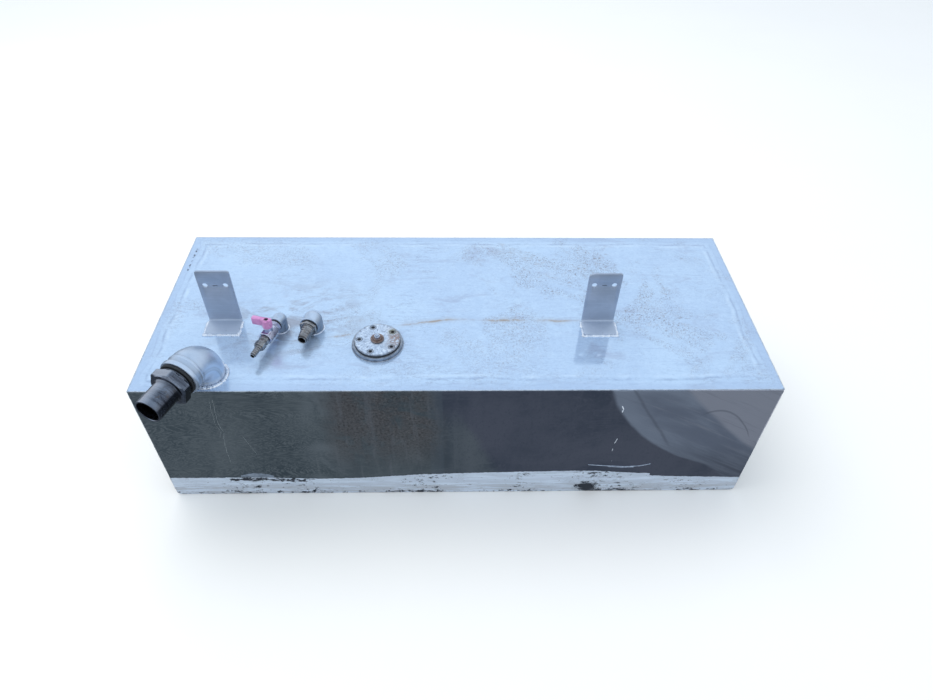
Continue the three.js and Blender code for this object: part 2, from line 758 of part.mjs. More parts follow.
/** The float on its tube, at rest on the lower stop because the tank is empty. */
function levelGauge() {
  const { tube: tubeRadius, bore, bottom, stop, stopHeight, lowerStop, upperStop } = LEVEL;
  const { float, floatBore, floatHeight, floatRound } = LEVEL;
  const stopBore = tubeRadius + GAP;
  const rest = lowerStop + stopHeight;
  const floatTop = rest + floatHeight;
  const floatStations = [
    [rest, round(float - floatRound)],
    [rest + floatRound, round(float)],
    [floatTop - floatRound, round(float)],
    [floatTop, round(float - floatRound)],
    [floatTop, round(floatBore)],
    [rest, round(floatBore)],
  ];
  return group(
    [SENDER.x, SENDER.y, 0],
    piece('sender_tube', tube(bottom, LID_TOP + FLANGE_BOTTOM, tubeRadius, bore), FINISH.inner()),
    piece('float_stop_lower', tube(lowerStop, rest, stop, stopBore), FINISH.inner()),
    piece('float_stop_upper', tube(upperStop, upperStop + stopHeight, stop, stopBore), FINISH.inner()),
    piece('sender_float', turned(floatStations, { looped: true }), FINISH.nylon()),
  );
}

// ---------------------------------------------------------------- assembly

function valveTurningParts() {
  const parts = [valveBall(), valveStem(), valveHandle(), handleScrew()];
  return group([VALVE.pivot, 0, OUTLET.rise], ...parts);
}

function stemSeal() {
  const { bottom, top, radius, bore } = STEM_SEAL;
  const seal = piece('valve_stem_seal', tube(bottom + GAP, top, radius, bore), FINISH.rubber());
  return group([VALVE.pivot, 0, OUTLET.rise], seal);
}

const tank = new THREE.Group();
tank.add(
  shellWrapper(),
  facePanel('front_panel', -TANK.depth / 2),
  facePanel('back_panel', INSIDE_DEPTH / 2),
  topPanel(),
  bafflePlate(),
  ...BRACKETS.map(bracket),
  onLid(FILLER, fillerElbow(), alongLeg(FILLER, sealRing('filler_seal', FILLER), fillerTail())),
  onLid(VENT, domedElbow('vent_elbow', VENT), alongLeg(VENT, sealRing('vent_seal', VENT), ventTail())),
  onLid(
    OUTLET,
    domedElbow('outlet_elbow', OUTLET),
    alongLeg(
      OUTLET,
      sealRing('outlet_seal', OUTLET),
      valveSeat('valve_seat_inner', -1),
      valveSeat('valve_seat_outer', 1),
      outletTail(),
    ),
    valveBody(),
    stemSeal(),
    valveTurningParts(),
  ),
  outletDipTube(),
  onLid(SENDER, senderRing(), senderGasket(), senderFlange(), ...senderScrews(), ...terminalStack()),
  levelGauge(),
);

export default tank;
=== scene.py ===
"""Looks of the rectangular welded metal fuel tank: fine surfaces, materials, light and camera."""

import math

import bmesh
import bpy
from mathutils import Matrix, Vector, noise


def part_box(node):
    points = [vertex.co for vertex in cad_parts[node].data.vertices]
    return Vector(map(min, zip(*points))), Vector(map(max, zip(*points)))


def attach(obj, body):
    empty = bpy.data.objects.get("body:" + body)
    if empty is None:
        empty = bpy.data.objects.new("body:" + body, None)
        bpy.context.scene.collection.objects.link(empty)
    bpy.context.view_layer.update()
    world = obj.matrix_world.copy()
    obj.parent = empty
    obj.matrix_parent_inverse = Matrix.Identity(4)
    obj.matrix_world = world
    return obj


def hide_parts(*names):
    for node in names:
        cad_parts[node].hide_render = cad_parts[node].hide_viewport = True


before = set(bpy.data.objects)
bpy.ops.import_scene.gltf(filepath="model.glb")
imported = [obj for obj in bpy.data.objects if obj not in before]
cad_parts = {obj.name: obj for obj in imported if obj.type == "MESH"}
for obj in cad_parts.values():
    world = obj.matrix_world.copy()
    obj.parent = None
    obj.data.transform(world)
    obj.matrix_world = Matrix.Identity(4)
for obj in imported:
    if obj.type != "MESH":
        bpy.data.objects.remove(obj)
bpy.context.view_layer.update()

# ---------------------------------------------------------------- driving dimensions, in millimetres

MM = 0.001
TINY = 1e-6
RIGHT_ANGLE = math.pi / 2
FULL_TURN = 2 * math.pi

HALF_WIDTH = round(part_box("top_panel")[1].x / MM, 3)
HALF_DEPTH = round(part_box("top_panel")[1].y / MM, 3)
LID_TOP = round(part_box("top_panel")[1].z / MM, 3)
SHEET = 2
LID_UNDERSIDE = LID_TOP - SHEET
END_RADIUS = 9
LID_CORNER = 4
# How much smaller a thread is than the socket it screws into.
THREAD_PLAY = 0.3
# The seam gap is left free at the sheets' edges for the seam beads.
SEAM_GAP = 1.3
# The ends stand in by a hair, so that the fine model stays within the CAD model's box.
HAIR = 0.01
# The seeds that tell one sheet's unevenness from another's.
FRONT_BULGE = 1.5
BACK_BULGE = 5.5
LEFT_BULGE = 3.5
RIGHT_BULGE = 7.5

BRACKET = {"width": 50, "sheet": 3, "bend": 3, "foot": 34, "corner": 4, "hole": 4, "spacing": 30}
BRACKETS = {
    "bracket_left": {"x": -359.6, "back": -36.5, "height": 97, "holes": 71},
    "bracket_right": {"x": 217, "back": -39.5, "height": 95, "holes": 74, "top_left": 8},
}
FILLER = {
    "x": -357.7, "y": -153.5, "heading": -111.3, "rise": 43, "reach": 50, "bend": 35.5,
    "leg": 23.2, "throat": 26.7, "rim": 28.3, "bore": 19, "socket": 22, "tail": 18.6,
    "tail_bore": 16, "flats": 51.5, "hex_near": 58, "hex_far": 73, "tip": 112.5, "rim_width": 7,
    "ring_back": 17, "opening": 19,
}
OUTLET = {
    "x": -271.7, "y": -56.2, "heading": -107.7, "rise": 18.6, "reach": 11.5,
    "leg": 10.9, "bore": 4, "socket": 6.6, "opening": 5.3,
}
VALVE = {
    "near": 13.6, "pivot": 31.5, "far": 44.5, "flats": 18.8, "boss": 6.5, "boss_top": 13.2,
    "boss_bottom": 7.2, "seat": 8.2, "handle_bottom": 13.5, "handle_top": 28,
}
LEVER = {"length": 22.3, "behind": 7.5, "width": 7.5, "height": 11.5, "hub": 7.3, "skew": 3}
OUTLET_TAIL = {
    "collar": 7.8, "flats": 14.5, "radius": 4.5, "bore": 2.6, "hex_near": 53.5, "hex_far": 63.5,
    "tip": 82,
}
VENT = {
    "x": -222.3, "y": -55, "heading": -102.3, "rise": 16, "reach": 14,
    "leg": 14.8, "bore": 7, "socket": 10.4, "opening": 8,
}
VENT_TAIL = {
    "flats": 25, "hex_near": 16.2, "hex_far": 20.6, "root": 9.3, "tip_radius": 7.3, "bore": 5, "tip": 45.3,
}
SENDER = {
    "x": -122, "y": -91, "ring": 37.5, "ring_height": 6, "hole": 21, "gasket": 34.5, "opening": 21,
    "gasket_thickness": 2, "flange": 34, "flange_thickness": 2.5, "pitch": 27, "screws": 5,
}
SCREW = {"shank": 2.5, "head": 4.7, "head_depth": 2.2, "length": 10, "socket": 3, "socket_depth": 1.8}
TERMINAL = {"stud": 2.4, "washer": 10, "collar": 6.5, "nut_flats": 8, "nut_height": 4, "top": 9.5}

FLANGE_BOTTOM = SENDER["ring_height"] + SENDER["gasket_thickness"]
FLANGE_TOP = FLANGE_BOTTOM + SENDER["flange_thickness"]


def sizes(part, names):
    """Several of a part's sizes, by their names."""
    return [part[name] for name in names.split()]


# ---------------------------------------------------------------- shapes: rings, sheets and tubes

# A shape is a list of points and a list of faces, each face a tuple of point numbers.


def filleted(profile, radius, steps=3):
    """A profile of (distance, radius) corners with every inner corner rounded off."""
    longest_share = 0.45
    points = [Vector(p) for p in profile]
    result = [points[0]]
    for before, corner, after in zip(points, points[1:], points[2:]):
        back = before - corner
        ahead = after - corner
        trim = min(radius, back.length * longest_share, ahead.length * longest_share)
        if trim < TINY:
            continue
        start = corner + back.normalized() * trim
        end = corner + ahead.normalized() * trim
        for i in range(steps + 1):
            t = i / steps
            result.append(start.lerp(corner, t).lerp(corner.lerp(end, t), t))
    result.append(points[-1])
    return [tuple(p) for p in result]


def as_turned(angle, distance, radius):
    """The plain section: round."""
    return radius


def hexagon(flats, turn=0.0):
    """A section that cuts whatever is wider than the hexagon down to its flats."""
    sector = FULL_TURN / 6

    def section(angle, distance, radius):
        from_flat = (angle + turn) % sector - sector / 2
        return min(radius, flats / 2 / math.cos(from_flat))

    return section


def threaded(start, end, pitch, depth, beneath=as_turned):
    """A section with a screw thread between two distances."""

    def section(angle, distance, radius):
        plain = beneath(angle, distance, radius)
        if not start < distance < end:
            return plain
        phase = distance / pitch - angle / FULL_TURN
        fade = min(1, (distance - start) / pitch, (end - distance) / pitch)
        return plain - depth * fade * abs(2 * (phase % 1) - 1)

    return section


def span(start, end, radius, step):
    """Close stations along a straight stretch, for a section that changes with distance."""
    count = max(2, round((end - start) / step))
    return [(start + (end - start) * i / count, radius) for i in range(count + 1)]


def straight_up(distance):
    """The plain path: up the Z axis. A path gives a place and the tilt towards +X there."""
    return Vector((0, 0, distance)), 0.0


def bend_path(rise, bend):
    """A path that rises, turns a right angle towards +X and runs level."""
    arc = bend * RIGHT_ANGLE
    upright = rise - bend

    def place(distance):
        if distance <= upright:
            return Vector((0, 0, distance)), 0.0
        if distance >= upright + arc:
            return Vector((bend + distance - upright - arc, 0, rise)), RIGHT_ANGLE
        turn = (distance - upright) / bend
        return Vector((bend * (1 - math.cos(turn)), 0, upright + bend * math.sin(turn))), turn

    return place


def skin(rings, looped):
    """Joins rings of points into a surface: capped at both ends, or looped back to the first."""
    count = len(rings[0])
    points = [point for ring in rings for point in ring]
    faces = []
    spans = len(rings) if looped else len(rings) - 1
    for i in range(spans):
        here = i * count
        ahead = (i + 1) % len(rings) * count
        for j in range(count):
            k = (j + 1) % count
            faces.append((here + j, here + k, ahead + k, ahead + j))
    if not looped:
        faces.append(tuple(reversed(range(count))))
        faces.append(tuple(range(len(points) - count, len(points))))
    return points, faces


def turned(profile, section=as_turned, count=72, looped=False, path=straight_up):
    """A turned piece from (distance, radius) stations; looped when a hole runs through it."""
    rings = []
    for distance, radius in profile:
        centre, tilt = path(distance)
        across = Vector((math.cos(tilt), 0, -math.sin(tilt)))
        ring = []
        for j in range(count):
            angle = FULL_TURN * j / count
            reach = section(angle, distance, radius)
            aside = Vector((0, reach * math.sin(angle), 0))
            ring.append(centre + across * reach * math.cos(angle) + aside)
        rings.append(ring)
    return skin(rings, looped)


def tube_along(points, radii, count=10, closed=False, flatten=1.0):
    """A tube along points, its radius given at each; flatten squashes it in Z."""
    rings = []
    total = len(points)
    for i, point in enumerate(points):
        before = points[(i - 1) % total] if closed or i > 0 else point
        after = points[(i + 1) % total] if closed or i < total - 1 else point
        along = (after - before).normalized()
        side = along.cross(Vector((0, 0, 1)))
        if side.length < 1e-3:
            side = Vector((1, 0, 0))
        side.normalize()
        up = side.cross(along)
        ring = []
        for j in range(count):
            angle = FULL_TURN * j / count
            offset = side * math.cos(angle) + up * math.sin(angle) * flatten
            ring.append(point + offset * radii[i])
        rings.append(ring)
    return skin(rings, closed)


def circle(radius, count, x=0.0, y=0.0):
    """Points round a circle, anticlockwise from +X."""
    turns = [FULL_TURN * i / count for i in range(count)]
    return [(x + radius * math.cos(turn), y + radius * math.sin(turn)) for turn in turns]


def joined(*shapes):
    """Several shapes as one."""
    points, faces = [], []
    for more_points, more_faces in shapes:
        start = len(points)
        points.extend(more_points)
        faces.extend(tuple(i + start for i in face) for face in more_faces)
    return points, faces


def placed(shape, matrix):
    """A shape moved by a matrix."""
    points, faces = shape
    return [matrix @ Vector(p) for p in points], faces


# ---------------------------------------------------------------- places


def on_lid(fitting):
    """The place of a fitting on the lid, turned so that local +X is its heading."""
    move = Matrix.Translation((fitting["x"], fitting["y"], LID_TOP))
    return move @ Matrix.Rotation(math.radians(fitting.get("heading", 0)), 4, "Z")


def along_leg(fitting):
    """The place of pieces made along +Z and laid down along the fitting's level leg."""
    lift = Matrix.Translation((0, 0, fitting["rise"]))
    return on_lid(fitting) @ lift @ Matrix.Rotation(RIGHT_ANGLE, 4, "Y")


def wobble(x, y, z, scale, amount):
    """A smooth random offset at a place, the same on every run."""
    return noise.noise(Vector((x, y, z)) / scale) * amount


# ---------------------------------------------------------------- pieces


def linked(name, data):
    """A new object with the data, in the scene."""
    made = bpy.data.objects.new(name, data)
    bpy.context.scene.collection.objects.link(made)
    return made


def mesh_of(name, shape):
    """A mesh from a shape in millimetres."""
    points, faces = shape
    mesh = bpy.data.meshes.new(name)
    mesh.from_pydata([p * MM for p in points], [], faces)
    return mesh


def shape_of(mesh):
    """A mesh as a shape in millimetres."""
    return [v.co / MM for v in mesh.vertices], [tuple(p.vertices) for p in mesh.polygons]


def evaluated_mesh(made):
    """The object's mesh with its modifiers applied."""
    graph = bpy.context.evaluated_depsgraph_get()
    graph.update()
    return bpy.data.meshes.new_from_object(made.evaluated_get(graph))


def mark_hollows(source, mesh):
    """Stores how hollow and how exposed ("wear") each vertex of a mesh is, from 0 to 1. How hollow it is
    darkens it with dirt and painted shade.
    """
    passed_on = 0.55
    source.verts.ensure_lookup_table()
    source.normal_update()
    bends = []
    for vert in source.verts:
        ways = [(e.other_vert(vert).co - vert.co).normalized() for e in vert.link_edges]
        bends.append(sum([way.dot(vert.normal) for way in ways]) / max(1, len(ways)))
    for name, gain in (("grime_and_shade", 6.0), ("wear", -3.0)):
        level = [min(1.0, max(0.0, bend * gain)) for bend in bends]
        spread = []
        for vert, own in zip(source.verts, level):
            around = max([level[e.other_vert(vert).index] for e in vert.link_edges], default=0.0)
            spread.append(max(own, passed_on * around))
        mesh.attributes.new(name, "FLOAT", "POINT").data.foreach_set("value", spread)


def piece(name, shape, look, body="tank", crease=35, place=Matrix.Identity(4)):
    """Makes a piece from a shape and hangs it on its body. It replaces the CAD node of its name."""
    mesh = mesh_of(name, placed(shape, place))
    mesh.validate()
    tidy = bmesh.new()
    tidy.from_mesh(mesh)
    bmesh.ops.recalc_face_normals(tidy, faces=tidy.faces)
    tidy.to_mesh(mesh)
    mark_hollows(tidy, mesh)
    tidy.free()
    mesh.polygons.foreach_set("use_smooth", [True] * len(mesh.polygons))
    mesh.set_sharp_from_angle(angle=math.radians(crease))
    mesh.materials.append(look)
    made = linked(name, mesh)
    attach(made, body)
    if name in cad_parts:
        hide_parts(name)
    return made


def rounded_edges(made, width, angle):
    """A small bevel on a piece's edges that are sharper than an angle."""
    bevel = made.modifiers.new("rounded_edges", "BEVEL")
    bevel.width = width * MM
    bevel.segments = 2
    bevel.limit_method = "ANGLE"
    bevel.angle_limit = math.radians(angle)
    bevel.harden_normals = True


def melted(made, voxel, rounds):
    """Fuses a piece's overlapping shells and smooths the joints, as a casting's are."""
    remesh = made.modifiers.new("fused", "REMESH")
    remesh.mode = "VOXEL"
    remesh.voxel_size = voxel * MM
    remesh.use_smooth_shade = True
    smooth = made.modifiers.new("smoothed", "SMOOTH")
    smooth.iterations = rounds
    smooth.factor = 0.5


# ---------------------------------------------------------------- material building


class Value:
    """A node's output. Sums, products and the methods below each add a node and give its output."""

    def __init__(self, look, socket):
        self.look = look
        self.socket = socket

    def __add__(self, other):
        return self.look.maths("ADD", self, other)

    def __sub__(self, other):
        return self.look.maths("SUBTRACT", self, other)

    def __rsub__(self, other):
        return self.look.maths("SUBTRACT", other, self)

    def __mul__(self, other):
        return self.look.maths("MULTIPLY", self, other)

    def __abs__(self):
        return self.look.maths("ABSOLUTE", self)

    def ramp(self, low, high, start=0.0, end=1.0):
        """Goes smoothly from start to end as this goes from low to high."""
        inputs = {"Value": self, "From Min": low, "From Max": high, "To Min": start, "To Max": end}
        return self.look.node("ShaderNodeMapRange", inputs, interpolation_type="SMOOTHSTEP")

    def line(self, low, high):
        """Goes straight from 0 to 1 as this goes from low to high."""
        return self.look.node("ShaderNodeMapRange", {"Value": self, "From Min": low, "From Max": high})

    def window(self, low, high, soft):
        """1 between low and high, fading to 0 over the soft width outside them."""
        return self.ramp(low - soft, low) * self.ramp(high, high + soft, 1.0, 0.0)

    def near(self, middle, width):
        """1 at the middle, falling smoothly to 0 at a width away on either side."""
        return abs(self - middle).ramp(0.0, width, 1.0, 0.0)

    def curve(self, *points):
        """A smooth curve through (value, result) points, all between 0 and 1."""
        node = self.look.nodes.new("ShaderNodeFloatCurve")
        drawn = node.mapping.curves[0]
        for place, level in points[1:-1]:
            drawn.points.new(place, level)
        drawn.points[0].location = points[0]
        drawn.points[-1].location = points[-1]
        node.mapping.update()
        self.look.feed(node.inputs["Value"], self)
        return Value(self.look, node.outputs[0])

    def to(self, colour, amount):
        """This colour, taken towards another by an amount."""
        return self.look.mix(amount, self, colour)


class Look:
    """A material being built."""

    def __init__(self, name):
        self.material = bpy.data.materials.new(name)
        self.material.use_nodes = True
        self.nodes = self.material.node_tree.nodes
        self.shader = self.nodes["Principled BSDF"]
        self.place = self.node("ShaderNodeTexCoord", {}, "Object")

    def feed(self, socket, value):
        """Links a value to a node's input, or sets the input to a plain number or colour."""
        if isinstance(value, Value):
            self.material.node_tree.links.new(value.socket, socket)
        elif isinstance(value, tuple) and socket.type == "RGBA":
            socket.default_value = (*value, 1)
        else:
            socket.default_value = value

    def node(self, kind, inputs, output=0, **settings):
        """Adds a node with its inputs, by name or number, and gives one of its outputs."""
        node = self.nodes.new(kind)
        for key, value in settings.items():
            setattr(node, key, value)
        for key, value in inputs.items():
            self.feed(node.inputs[key], value)
        return Value(self, node.outputs[output])

    def maths(self, operation, first, second=0.0, third=0.0):
        """A mathematical operation on up to three values."""
        return self.node("ShaderNodeMath", {0: first, 1: second, 2: third}, operation=operation)

    def distance(self, x, y):
        """The distance of a place from the middle of a plane."""
        return self.maths("SQRT", x * x + y * y)

    def mapped(self, scale=(1, 1, 1), turn=(0, 0, 0), move=(0, 0, 0), source=None):
        """The object's own coordinates, or a source, scaled, turned and moved, in that order."""
        inputs = {"Vector": source or self.place, "Scale": scale, "Rotation": turn, "Location": move}
        return self.node("ShaderNodeMapping", inputs)

    def noise(self, scale, detail=4, rough=0.55, twist=0.0, source=None, **mapping):
        """Cloudy noise about 0.5. Three scales make it finer along some axes than along others."""
        if isinstance(scale, tuple):
            source = self.mapped(scale, source=source, **mapping)
            scale = 1
        elif mapping:
            source = self.mapped(source=source, **mapping)
        inputs = {"Vector": source or self.place, "Scale": scale, "Detail": detail}
        inputs.update({"Roughness": rough, "Distortion": twist})
        return self.node("ShaderNodeTexNoise", inputs, "Fac")

    def axis(self, which, source=None):
        """One coordinate of a place."""
        return self.node("ShaderNodeSeparateXYZ", {0: source or self.place}, which)

    def facing(self, direction):
        """How far the surface looks in a direction: 1 straight along it, -1 straight away."""
        normal = self.node("ShaderNodeTexCoord", {}, "Normal")
        inputs = {0: normal, 1: direction}
        return self.node("ShaderNodeVectorMath", inputs, "Value", operation="DOT_PRODUCT")

    def stored(self, name):
        """A value stored on the mesh: how hollow a place is, for dirt and painted shade, or "wear" on
        exposed edges.
        """
        return self.node("ShaderNodeAttribute", {}, "Fac", attribute_name=name)

    def mix(self, amount, first, second):
        """A colour between two others."""
        return self.node("ShaderNodeMix", {0: amount, 6: first, 7: second}, 2, data_type="RGBA")

    def bumped(self, height, strength, depth):
        """The surface's normal, bumped by a height."""
        return self.node("ShaderNodeBump", {"Strength": strength, "Distance": depth, "Height": height})

    def done(self, colour, rough, metal, normal=None, coat=0.0):
        """Feeds the shader and gives the finished material."""
        inputs = {"Base Color": colour, "Roughness": rough, "Metallic": metal, "Coat Weight": coat}
        if normal:
            inputs["Normal"] = normal
        for key, value in inputs.items():
            self.feed(self.shader.inputs[key], value)
        return self.material


def bright_edge(light):
    """A worn edge's colour, from the metal's lighter tone."""
    return tuple(min(0.9, 1.7 * level) for level in light)


# ---------------------------------------------------------------- materials

# Places, widths and bump depths are in metres, colours are linear, and a noise's scale is how many
# cells it has to the metre.


def worn_metal(
    name, dark, light, rough=(0.3, 0.5), grain=900, patches=40, stain=None, metal=1.0, heading=None,
    dust_and_painted_highlight=None, painted_shade=None,
):
    """Metal with blotches between two tones, fine grain, dirt and painted shade in hollows and bright
    edges.

    Stains of another colour are added if given. A heading makes turning marks round a level axis.
    A paler tone, if given, is painted on faces that look up and to the left: painted highlight. Painted
    shade is
    a direction and an amount: faces that look that way are darkened by so much.
    """
    painted_highlight_way = (-0.45, 0.0, 0.89)
    painted_shade_tone = (0.012, 0.013, 0.018)
    grime_and_shade_tone = (0.018, 0.016, 0.016)
    look = Look(name)
    if heading is None:
        blotch = look.noise(patches, 5, 0.6, 0.4)
    else:
        level = look.mapped(turn=(0, 0, -math.radians(heading)))
        blotch = look.noise((patches * 5, patches / 3, patches / 3), 5, 0.65, 0.3, source=level)
    fine = look.noise(grain, 3, 0.6)
    tone = look.mix((blotch + fine * 0.35).ramp(0.45, 0.85), dark, light)
    if stain:
        patch = look.noise(patches * 1.7, 6, 0.7, 0.8, move=(3, 1, 2)).ramp(0.56, 0.68)
        tone = tone.to(stain, patch * 0.8)
    # Painted highlight on faces that look up and to the left, and painted shade on faces that look the
    # given way.
    if dust_and_painted_highlight:
        tone = tone.to(dust_and_painted_highlight, look.facing(painted_highlight_way).ramp(0.6, 1.0, 0.0, 0.7))
    if painted_shade:
        direction, amount = painted_shade
        tone = tone.to(painted_shade_tone, look.facing(direction).ramp(-0.05, 0.6, 0.0, amount))
    tone = tone.to(bright_edge(light), look.stored("wear") * fine.ramp(0.3, 0.6) * 0.55)
    # Dirt and painted shade: hollows darkened towards near-black.
    tone = tone.to(grime_and_shade_tone, look.stored("grime_and_shade") * 0.8)
    roughness = (blotch + fine * 0.4).ramp(0.4, 0.95, rough[1], rough[0])
    normal = look.bumped(fine * 0.6 + blotch, 0.25, 0.0002)
    return look.done(tone, roughness, metal, normal)


def lid_look():
    """Bright hazy sheet: cloudy patches, rolling marks, dirt specks, rust trails, a pressed border."""
    look = Look("lid_steel")
    x, y = look.axis(0), look.axis(1)
    cloud = look.noise(6, 5, 0.6, 0.3)
    mottle = look.noise(60, 6, 0.7, 0.5)
    rolled = look.noise((16, 300, 60), 5, 0.65, 0.3)
    tone = look.mix(cloud.ramp(0.35, 0.65), (0.478, 0.622, 0.812), (0.52, 0.674, 0.855))
    tone = tone.to((0.57, 0.72, 0.89), mottle.ramp(0.42, 0.75, 0.0, 0.45))
    tone = tone.to((0.37, 0.47, 0.66), rolled.ramp(0.48, 0.78, 0.0, 0.3))
    crackle = look.noise((200, 330, 200), 4, 0.75, 1.0)
    tone = tone.to((0.34, 0.44, 0.6), crackle.ramp(0.5, 0.68, 0.0, 0.4))
    tone = tone.to((0.62, 0.76, 0.93), crackle.ramp(0.48, 0.32, 0.0, 0.35))

    drift = look.noise(14, 3, 0.6)
    flow = look.noise((14, 75, 40), 5, 0.7, 1.1, turn=(0, 0, 0.22))
    creases = flow.near(0.5, 0.016) * look.noise(8, 4, 0.65).ramp(0.48, 0.62)
    tone = tone.to((0.25, 0.29, 0.37), creases * 0.6)
    smudge = look.noise((11, 26, 20), 6, 0.7, 0.8, move=(2, 5, 0)).ramp(0.54, 0.7)
    tone = tone.to((0.33, 0.37, 0.49), smudge * 0.4)

    fittings = x.near(-0.26, 0.17) * y.near(-0.035, 0.13)
    darker_patches = look.noise((13, 30, 20), 6, 0.75, 0.9, move=(1, 3, 0))
    tone = tone.to((0.3, 0.31, 0.36), fittings * darker_patches.ramp(0.46, 0.6) * 0.75)

    field = look.noise(7.5, 4, 0.65, 0.7, move=(0.6, 0.2, 0)).ramp(0.47, 0.58)
    field = field * x.ramp(-0.25, 0.25, 0.55, 1.0) * y.ramp(-0.165, 0.0, 0.5, 1.0)
    specks = look.noise(340, 4, 0.8, 1.2).ramp(0.54, 0.575) * field
    tone = tone.to((0.2, 0.18, 0.18), specks * 0.8)
    dust_and_painted_highlight = look.noise(90, 6, 0.8, 0.4).ramp(0.52, 0.66) * field
    tone = tone.to((0.4, 0.38, 0.38), dust_and_painted_highlight * 0.35)

    along = x.line(-0.2, 0.2)
    trail = along.curve(
        (0.0, 0.06), (0.12, 0.28), (0.29, 0.62), (0.4, 0.78), (0.47, 0.86), (0.62, 0.83),
        (0.73, 0.86), (0.82, 0.84), (0.92, 0.8), (1.0, 0.8),
    )
    lowest = -0.0795
    trail = trail * 0.05 + lowest + (drift - 0.5) * 0.012
    strength = along.curve(
        (0.0, 0.0), (0.06, 0.7), (0.12, 0.2), (0.25, 0.1), (0.3, 0.8), (0.42, 1.0), (0.5, 0.35),
        (0.6, 0.3), (0.64, 1.0), (0.73, 0.8), (0.78, 0.2), (0.86, 0.9), (0.93, 0.6), (1.0, 0.0),
    )
    off = abs(y - trail)
    stain = off.ramp(0.0, 0.0036, 0.6, 0.0) + off.ramp(0.0, 0.011, 0.3, 0.0)
    broken = look.noise(60, 5, 0.7).ramp(0.36, 0.6, 0.35, 1.0)
    tone = tone.to((0.36, 0.29, 0.22), stain * broken * strength)

    border = look.maths("MINIMUM", HALF_WIDTH * MM - abs(x), HALF_DEPTH * MM - abs(y))
    edge = border + look.noise(11, 5, 0.65) * 0.022 - 0.005
    patchy = look.noise(26, 4, 0.7).ramp(0.4, 0.62, 0.1, 1.0)
    tone = tone.to((0.27, 0.35, 0.5), edge.near(0.0275, 0.003) * patchy * 0.5)
    tone = tone.to((0.62, 0.76, 0.92), edge.near(0.0335, 0.0045) * patchy * 0.5)
    tone = tone.to((0.3, 0.38, 0.53), edge.near(0.0175, 0.0022) * patchy * 0.35)
    tone = tone.to((0.41, 0.53, 0.72), edge.ramp(0.027, 0.01, 0.0, 0.5))

    burns = (x + drift * 0.004).near(-0.4515, 0.0024) * y.window(0.09, 0.147, 0.004)
    burns = burns * look.noise(150, 3, 0.7).ramp(0.49, 0.54)
    tone = tone.to((0.03, 0.03, 0.04), burns)
    height = mottle * 0.4 + rolled * 0.3 + specks * -0.5
    dull = x.near(-0.235, 0.13) * y.near(-0.13, 0.12)
    roughness = (cloud + mottle * 0.5).ramp(0.5, 1.0, 0.05, 0.17) + (dust_and_painted_highlight + specks) * 0.15 + dull * 0.16
    return look.done(tone, roughness, 0.5, look.bumped(height, 0.12, 0.0003))


def mirror_tone(look, dark, light):
    """Polished sheet with faint vertical wipe marks and soft blotches; gives tone, gloss and height."""
    haze = look.noise(5, 6, 0.6, 0.8)
    wipes = look.noise((38, 38, 3), 4, 0.6, 0.5)
    swirl = look.noise((9, 9, 26), 5, 0.65, 1.4)
    tone = look.mix(haze.ramp(0.38, 0.64), dark, light)
    tone = tone.to(light, wipes.ramp(0.5, 0.72, 0.0, 0.7))
    tone = tone.to(light, swirl.near(0.52, 0.03) * 0.6)
    grain = look.noise((300, 300, 210), 4, 0.75, 0.6)
    tone = tone.to(light, grain.ramp(0.5, 0.7, 0.0, 0.45))
    tone = tone.to(dark, grain.ramp(0.48, 0.34, 0.0, 0.45))
    gloss = (haze + wipes).ramp(0.8, 1.3, 0.1, 0.26)
    height = haze * 0.6 + swirl * 0.2
    return tone, gloss, height


def pale_end(look, x, z, tone):
    """The paler right end of the front: painted reflection of bright shapes before the sheet, in two zones
    with curved edges, with two mirrored dark lines, a painted gleam and slanting brush marks.
    """
    waver = look.noise(10, 5, 0.6) - 0.5
    across = x + waver * 0.016
    level = z.line(0.0, 0.25)
    slanted = look.mapped(turn=(0, -0.5, 0))
    brush = look.noise((7, 7, 120), 5, 0.7, 0.3, source=slanted)
    fold = look.noise((5, 5, 14), 4, 0.55, 0.8, source=slanted)

    # Painted reflection: two paler zones with curved edges, the first lighter near its edge, the second
    # brighter.
    first = level.curve(
        (0.0, 1.0), (0.24, 0.82), (0.39, 0.54), (0.5, 0.39), (0.65, 0.24), (0.84, 0.11), (1.0, 0.04),
    )
    inside = across - (first * 0.25 + 0.206)
    pale = look.mix(fold.ramp(0.36, 0.62), (0.43, 0.47, 0.57), (0.63, 0.69, 0.8))
    pale = pale.to((0.66, 0.72, 0.83), inside.near(0.012, 0.05) * 0.7)

    second = level.curve((0.0, 1.0), (0.4, 1.0), (0.53, 0.87), (0.75, 0.67), (0.93, 0.52), (1.0, 0.46))
    beyond = across - (second * 0.27 + 0.2)
    pale = pale.to((0.84, 0.83, 0.9), beyond.ramp(-0.004, 0.01, 0.0, 0.9))

    # Painted reflection: a long thin line and a curved one, things on the ground mirrored as dark lines.
    reflected_cable = (across + z * 0.59 - 0.398).near(0.0, 0.0045) * z.ramp(0.11, 0.14)
    off = across - 0.385
    reflected_arch = (z + off * off * 17.0).near(0.206, 0.0035) * x.window(0.368, 0.44, 0.01)
    pale = pale.to((0.28, 0.3, 0.36), (reflected_cable + reflected_arch) * 0.5)

    pale = pale.to((0.88, 0.87, 0.92), brush.ramp(0.54, 0.72, 0.0, 0.35))
    pale = pale.to((0.36, 0.38, 0.44), brush.ramp(0.46, 0.34, 0.0, 0.2))
    shade = z.ramp(0.145, 0.05) * brush.ramp(0.6, 0.42, 0.55, 1.0)
    pale = pale.to((0.21, 0.23, 0.28), shade * 0.85)
    # Painted highlight: a thin slanting gleam.
    gleam = (z + across * 0.53 - 0.274).near(0.0, 0.005) * x.window(0.35, 0.4, 0.012)
    pale = pale.to((0.74, 0.73, 0.76), gleam * 0.8)
    reach = inside.ramp(-0.003, 0.006) * z.ramp(0.03, 0.13, 0.55, 1.0)
    return tone.to(pale, reach)


